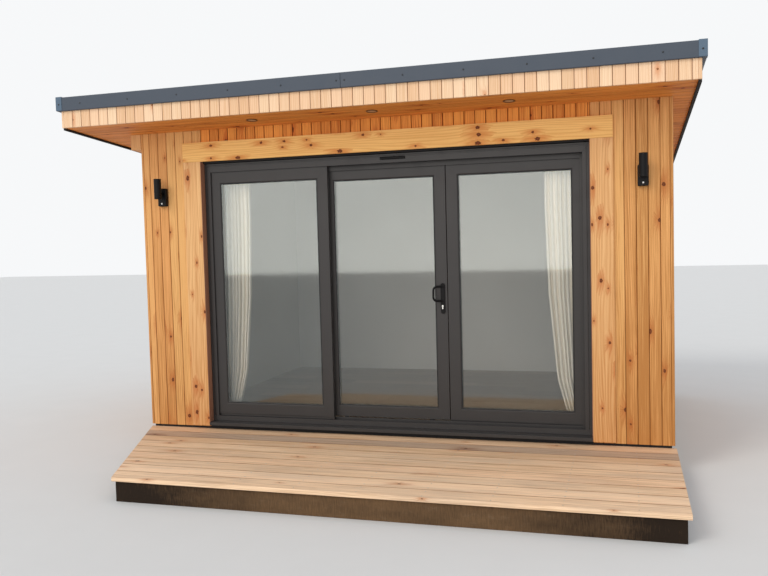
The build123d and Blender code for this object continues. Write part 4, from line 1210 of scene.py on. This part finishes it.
piece_of(turned, "wall_light_lenses", frosted_lens_painted_shade, "light_lens", None,
         *((lens_disc, (x, lamp_y, height), way, 32) for x in (-lamp_x, lamp_x)
           for height, way in ((lamp_high - throat, Z), (lamp_low + throat, -Z))))
piece_of(turned, "wall_light_sensors", white_plastic, "track", None,
         *((dome, (x, front - back_plate_thick, back_plate_low + dome_rise), -Y, 24)
           for x in (-lamp_x, lamp_x)))

# Curtain track: a slotted white rail on its brackets, with gliders
room_front, track_low = low("curtain_track")[1:]
track_half, _, track_high = high("curtain_track")
track_inset, track_depth, track_thick = 0.070, 0.022, 0.016
track_y = room_front + track_inset
slot_half, rail_wall, bracket_half = 0.003, 0.0018, 0.012
half_depth, inner_half = track_depth / 2, track_depth / 2 - rail_wall
inner_top = track_thick - rail_wall
rail_section = [
    (-half_depth, 0), (-slot_half, 0), (-slot_half, rail_wall), (-inner_half, rail_wall),
    (-inner_half, inner_top), (inner_half, inner_top), (inner_half, rail_wall), (slot_half, rail_wall),
    (slot_half, 0), (half_depth, 0), (half_depth, track_thick), (-half_depth, track_thick),
]
track = Shape()
carry(track, rounded(rail_section, 0.0005), (0, track_y, track_high - track_thick), X, Y, Z,
      -track_half, track_half)
bracket = block(room_front, track_y - half_depth, track_high - 0.008, track_high - 0.0025, 0.001)
bracket_xs = np.linspace(-track_half + 0.1, track_half - 0.1, 5)
carry(track, *along_x(bracket, bracket_xs - bracket_half, bracket_xs + bracket_half))
glider_xs = np.linspace(0.02, high("left_curtain")[0] - low("left_curtain")[0] - 0.02, 12)
glider = [(0.0024, 0), (0.0024, 0.009), (0.0052, 0.0095), (0.0052, 0.0125), (0.0005, 0.0127)]
gliders = [(side * (track_half - x), track_y, track_low - 0.004) for side in (-1, 1) for x in glider_xs]
turned(track, glider, gliders, Z, 10)
track.make("curtain_rail", white_plastic, "track", "curtain_track")

# Curtains: gathered cloth that narrows towards its hem
curtain_low, curtain_high = span("left_curtain", 2)
curtain_drop = curtain_high - curtain_low
fold_count, cloth_thick, curtain_flat_width, hem_width = 10, 0.0009, 0.99, 0.140
narrowing = ((0.0, 0.24, 0.70, curtain_drop), (hem_width, 0.235, 0.302, 0.345))


def curtain(name, side, seed, fuller=0.0):
    """Folds run down as sine waves: depth*sin(a) in and out and a quarter wave of sin(2a) sideways, where a
    counts the folds and wanders slowly down the drop. The width narrows to the hem as the node's does, and
    a fuller curtain is that much wider all the way down."""
    luck = np.random.default_rng(seed)
    rise = np.linspace(0, 1, 120)[:, None]
    across = np.linspace(0, 1, 361)[None]
    height = rise * curtain_drop
    width = np.interp(height, *narrowing)
    smooth = np.interp(height, (0, 0.12, 0.36, 1.2), (hem_width, 0.19, 0.255, 0.33))
    width = np.minimum(width, smooth) + fuller
    turns = 2 * math.pi * fold_count * across
    drift = across * luck.uniform(1.5, 2.5) + rise * 0.45
    wander = 0.55 * np.sin(2 * math.pi * drift + luck.uniform(0, 6))
    uneven = 0.8 * np.sin(2 * math.pi * across * luck.uniform(2.2, 3.2) + luck.uniform(0, 6))
    angle = turns + wander * (1 - rise) + uneven
    swell = 1 + 0.35 * np.sin(2 * math.pi * across * 3.3 + luck.uniform(0, 6))
    depth = np.interp(rise, (0, 0.35, 0.93, 1), (0.026, 0.023, 0.017, 0.010)) * swell
    wave = width / fold_count
    sway = 0.16 * wave * np.sin(2 * angle) * np.interp(rise, (0, 1), (1, 0.3))
    x = track_half - 0.008 - width * across + sway
    y = track_y + depth * np.sin(angle) * 0.95
    piece = Shape()
    grid = np.stack(np.broadcast_arrays(side * x, y, curtain_low + height + 0 * across), -1)
    loft(piece, grid, ring=False, caps=False)
    cloth = piece.make(name, curtain_cloth, "curtain", name.replace("_cloth", ""), sharp=80, weighted=False)
    solid = cloth.modifiers.new("Cloth thickness", "SOLIDIFY")
    solid.thickness, solid.offset = cloth_thick, 0


curtain("left_curtain_cloth", -1, 5)
curtain("right_curtain_cloth", 1, 11, 0.020)

# Floor, light and camera
floor_paint = Finish("pale_floor")
tone = floor_paint.noise(floor_paint.place(), 3.0, 3.0)
floor_paint.close(floor_paint.mix(tone, (0.70, 0.70, 0.69), (0.73, 0.73, 0.72)), 0.9)
reach = 40.0
ground = bpy.data.meshes.new("pale_floor")
floor_corners = [(-reach, -reach, 0), (reach, -reach, 0), (reach, reach, 0), (-reach, reach, 0)]
ground.from_pydata(floor_corners, [], [(0, 1, 2, 3)])
ground.materials.append(floor_paint.material)
ground_plane = bpy.data.objects.new("pale_floor", ground)
bpy.context.scene.collection.objects.link(ground_plane)

sky_light, background = (0.92, 0.95, 1.0), (0.93, 0.94, 0.95)
sky_strength = 0.80
studio = Finish("studio", bpy.data.worlds)
bpy.context.scene.world = studio.material
lit = studio.add("ShaderNodeBackground", None, {"Color": sky_light, "Strength": sky_strength})
seen = studio.add("ShaderNodeBackground", None, {"Color": background, "Strength": 1.0})
path = studio.add("ShaderNodeLightPath").socket.node
straight, glossy, through = (Signal(studio, path.outputs[kind])
                             for kind in ("Is Camera Ray", "Is Glossy Ray", "Is Transmission Ray"))
rays = straight.math("MAXIMUM", glossy).math("MAXIMUM", through)
mixed = studio.add("ShaderNodeMixShader", None, {0: rays, 1: lit, 2: seen})
studio.add("ShaderNodeOutputWorld", None, {"Surface": mixed})

for name, strength, spread, colour, towards in (
    ("soft_sun", 0.92, 24, (1.0, 0.965, 0.90), (-0.55, -0.75, 0.70)),
    ("low_fill", 1.00, 50, (1.0, 0.95, 0.88), (-0.10, -1.0, 0.05)),
):
    lamp_data = bpy.data.lights.new(name, "SUN")
    lamp_data.energy, lamp_data.angle, lamp_data.color = strength, math.radians(spread), colour
    lamp = bpy.data.objects.new(name, lamp_data)
    lamp.matrix_world = Vector(towards).to_track_quat("Z", "Y").to_matrix().to_4x4()
    bpy.context.scene.collection.objects.link(lamp)

camera_place, lens_length, yaw, pitch, roll = (1.739, -7.362, 1.624), 38.168, -0.290, -0.054, -0.026
ahead = np.array([math.sin(yaw) * math.cos(pitch), math.cos(yaw) * math.cos(pitch), math.sin(pitch)])
level = np.array([math.cos(yaw), -math.sin(yaw), 0])
upright = np.cross(level, ahead)
right = math.cos(roll) * level + math.sin(roll) * upright
up = math.cos(roll) * upright - math.sin(roll) * level
camera_data = bpy.data.cameras.new("camera")
camera_data.lens, camera_data.sensor_width = lens_length, 36.0
camera = bpy.data.objects.new("camera", camera_data)
turn_matrix = np.eye(4)
turn_matrix[:3] = np.stack([right, up, -ahead, camera_place], 1)
camera.matrix_world = Matrix(turn_matrix.tolist())
bpy.context.scene.collection.objects.link(camera)
bpy.context.scene.camera = camera
bpy.context.scene.view_settings.view_transform = "Standard"
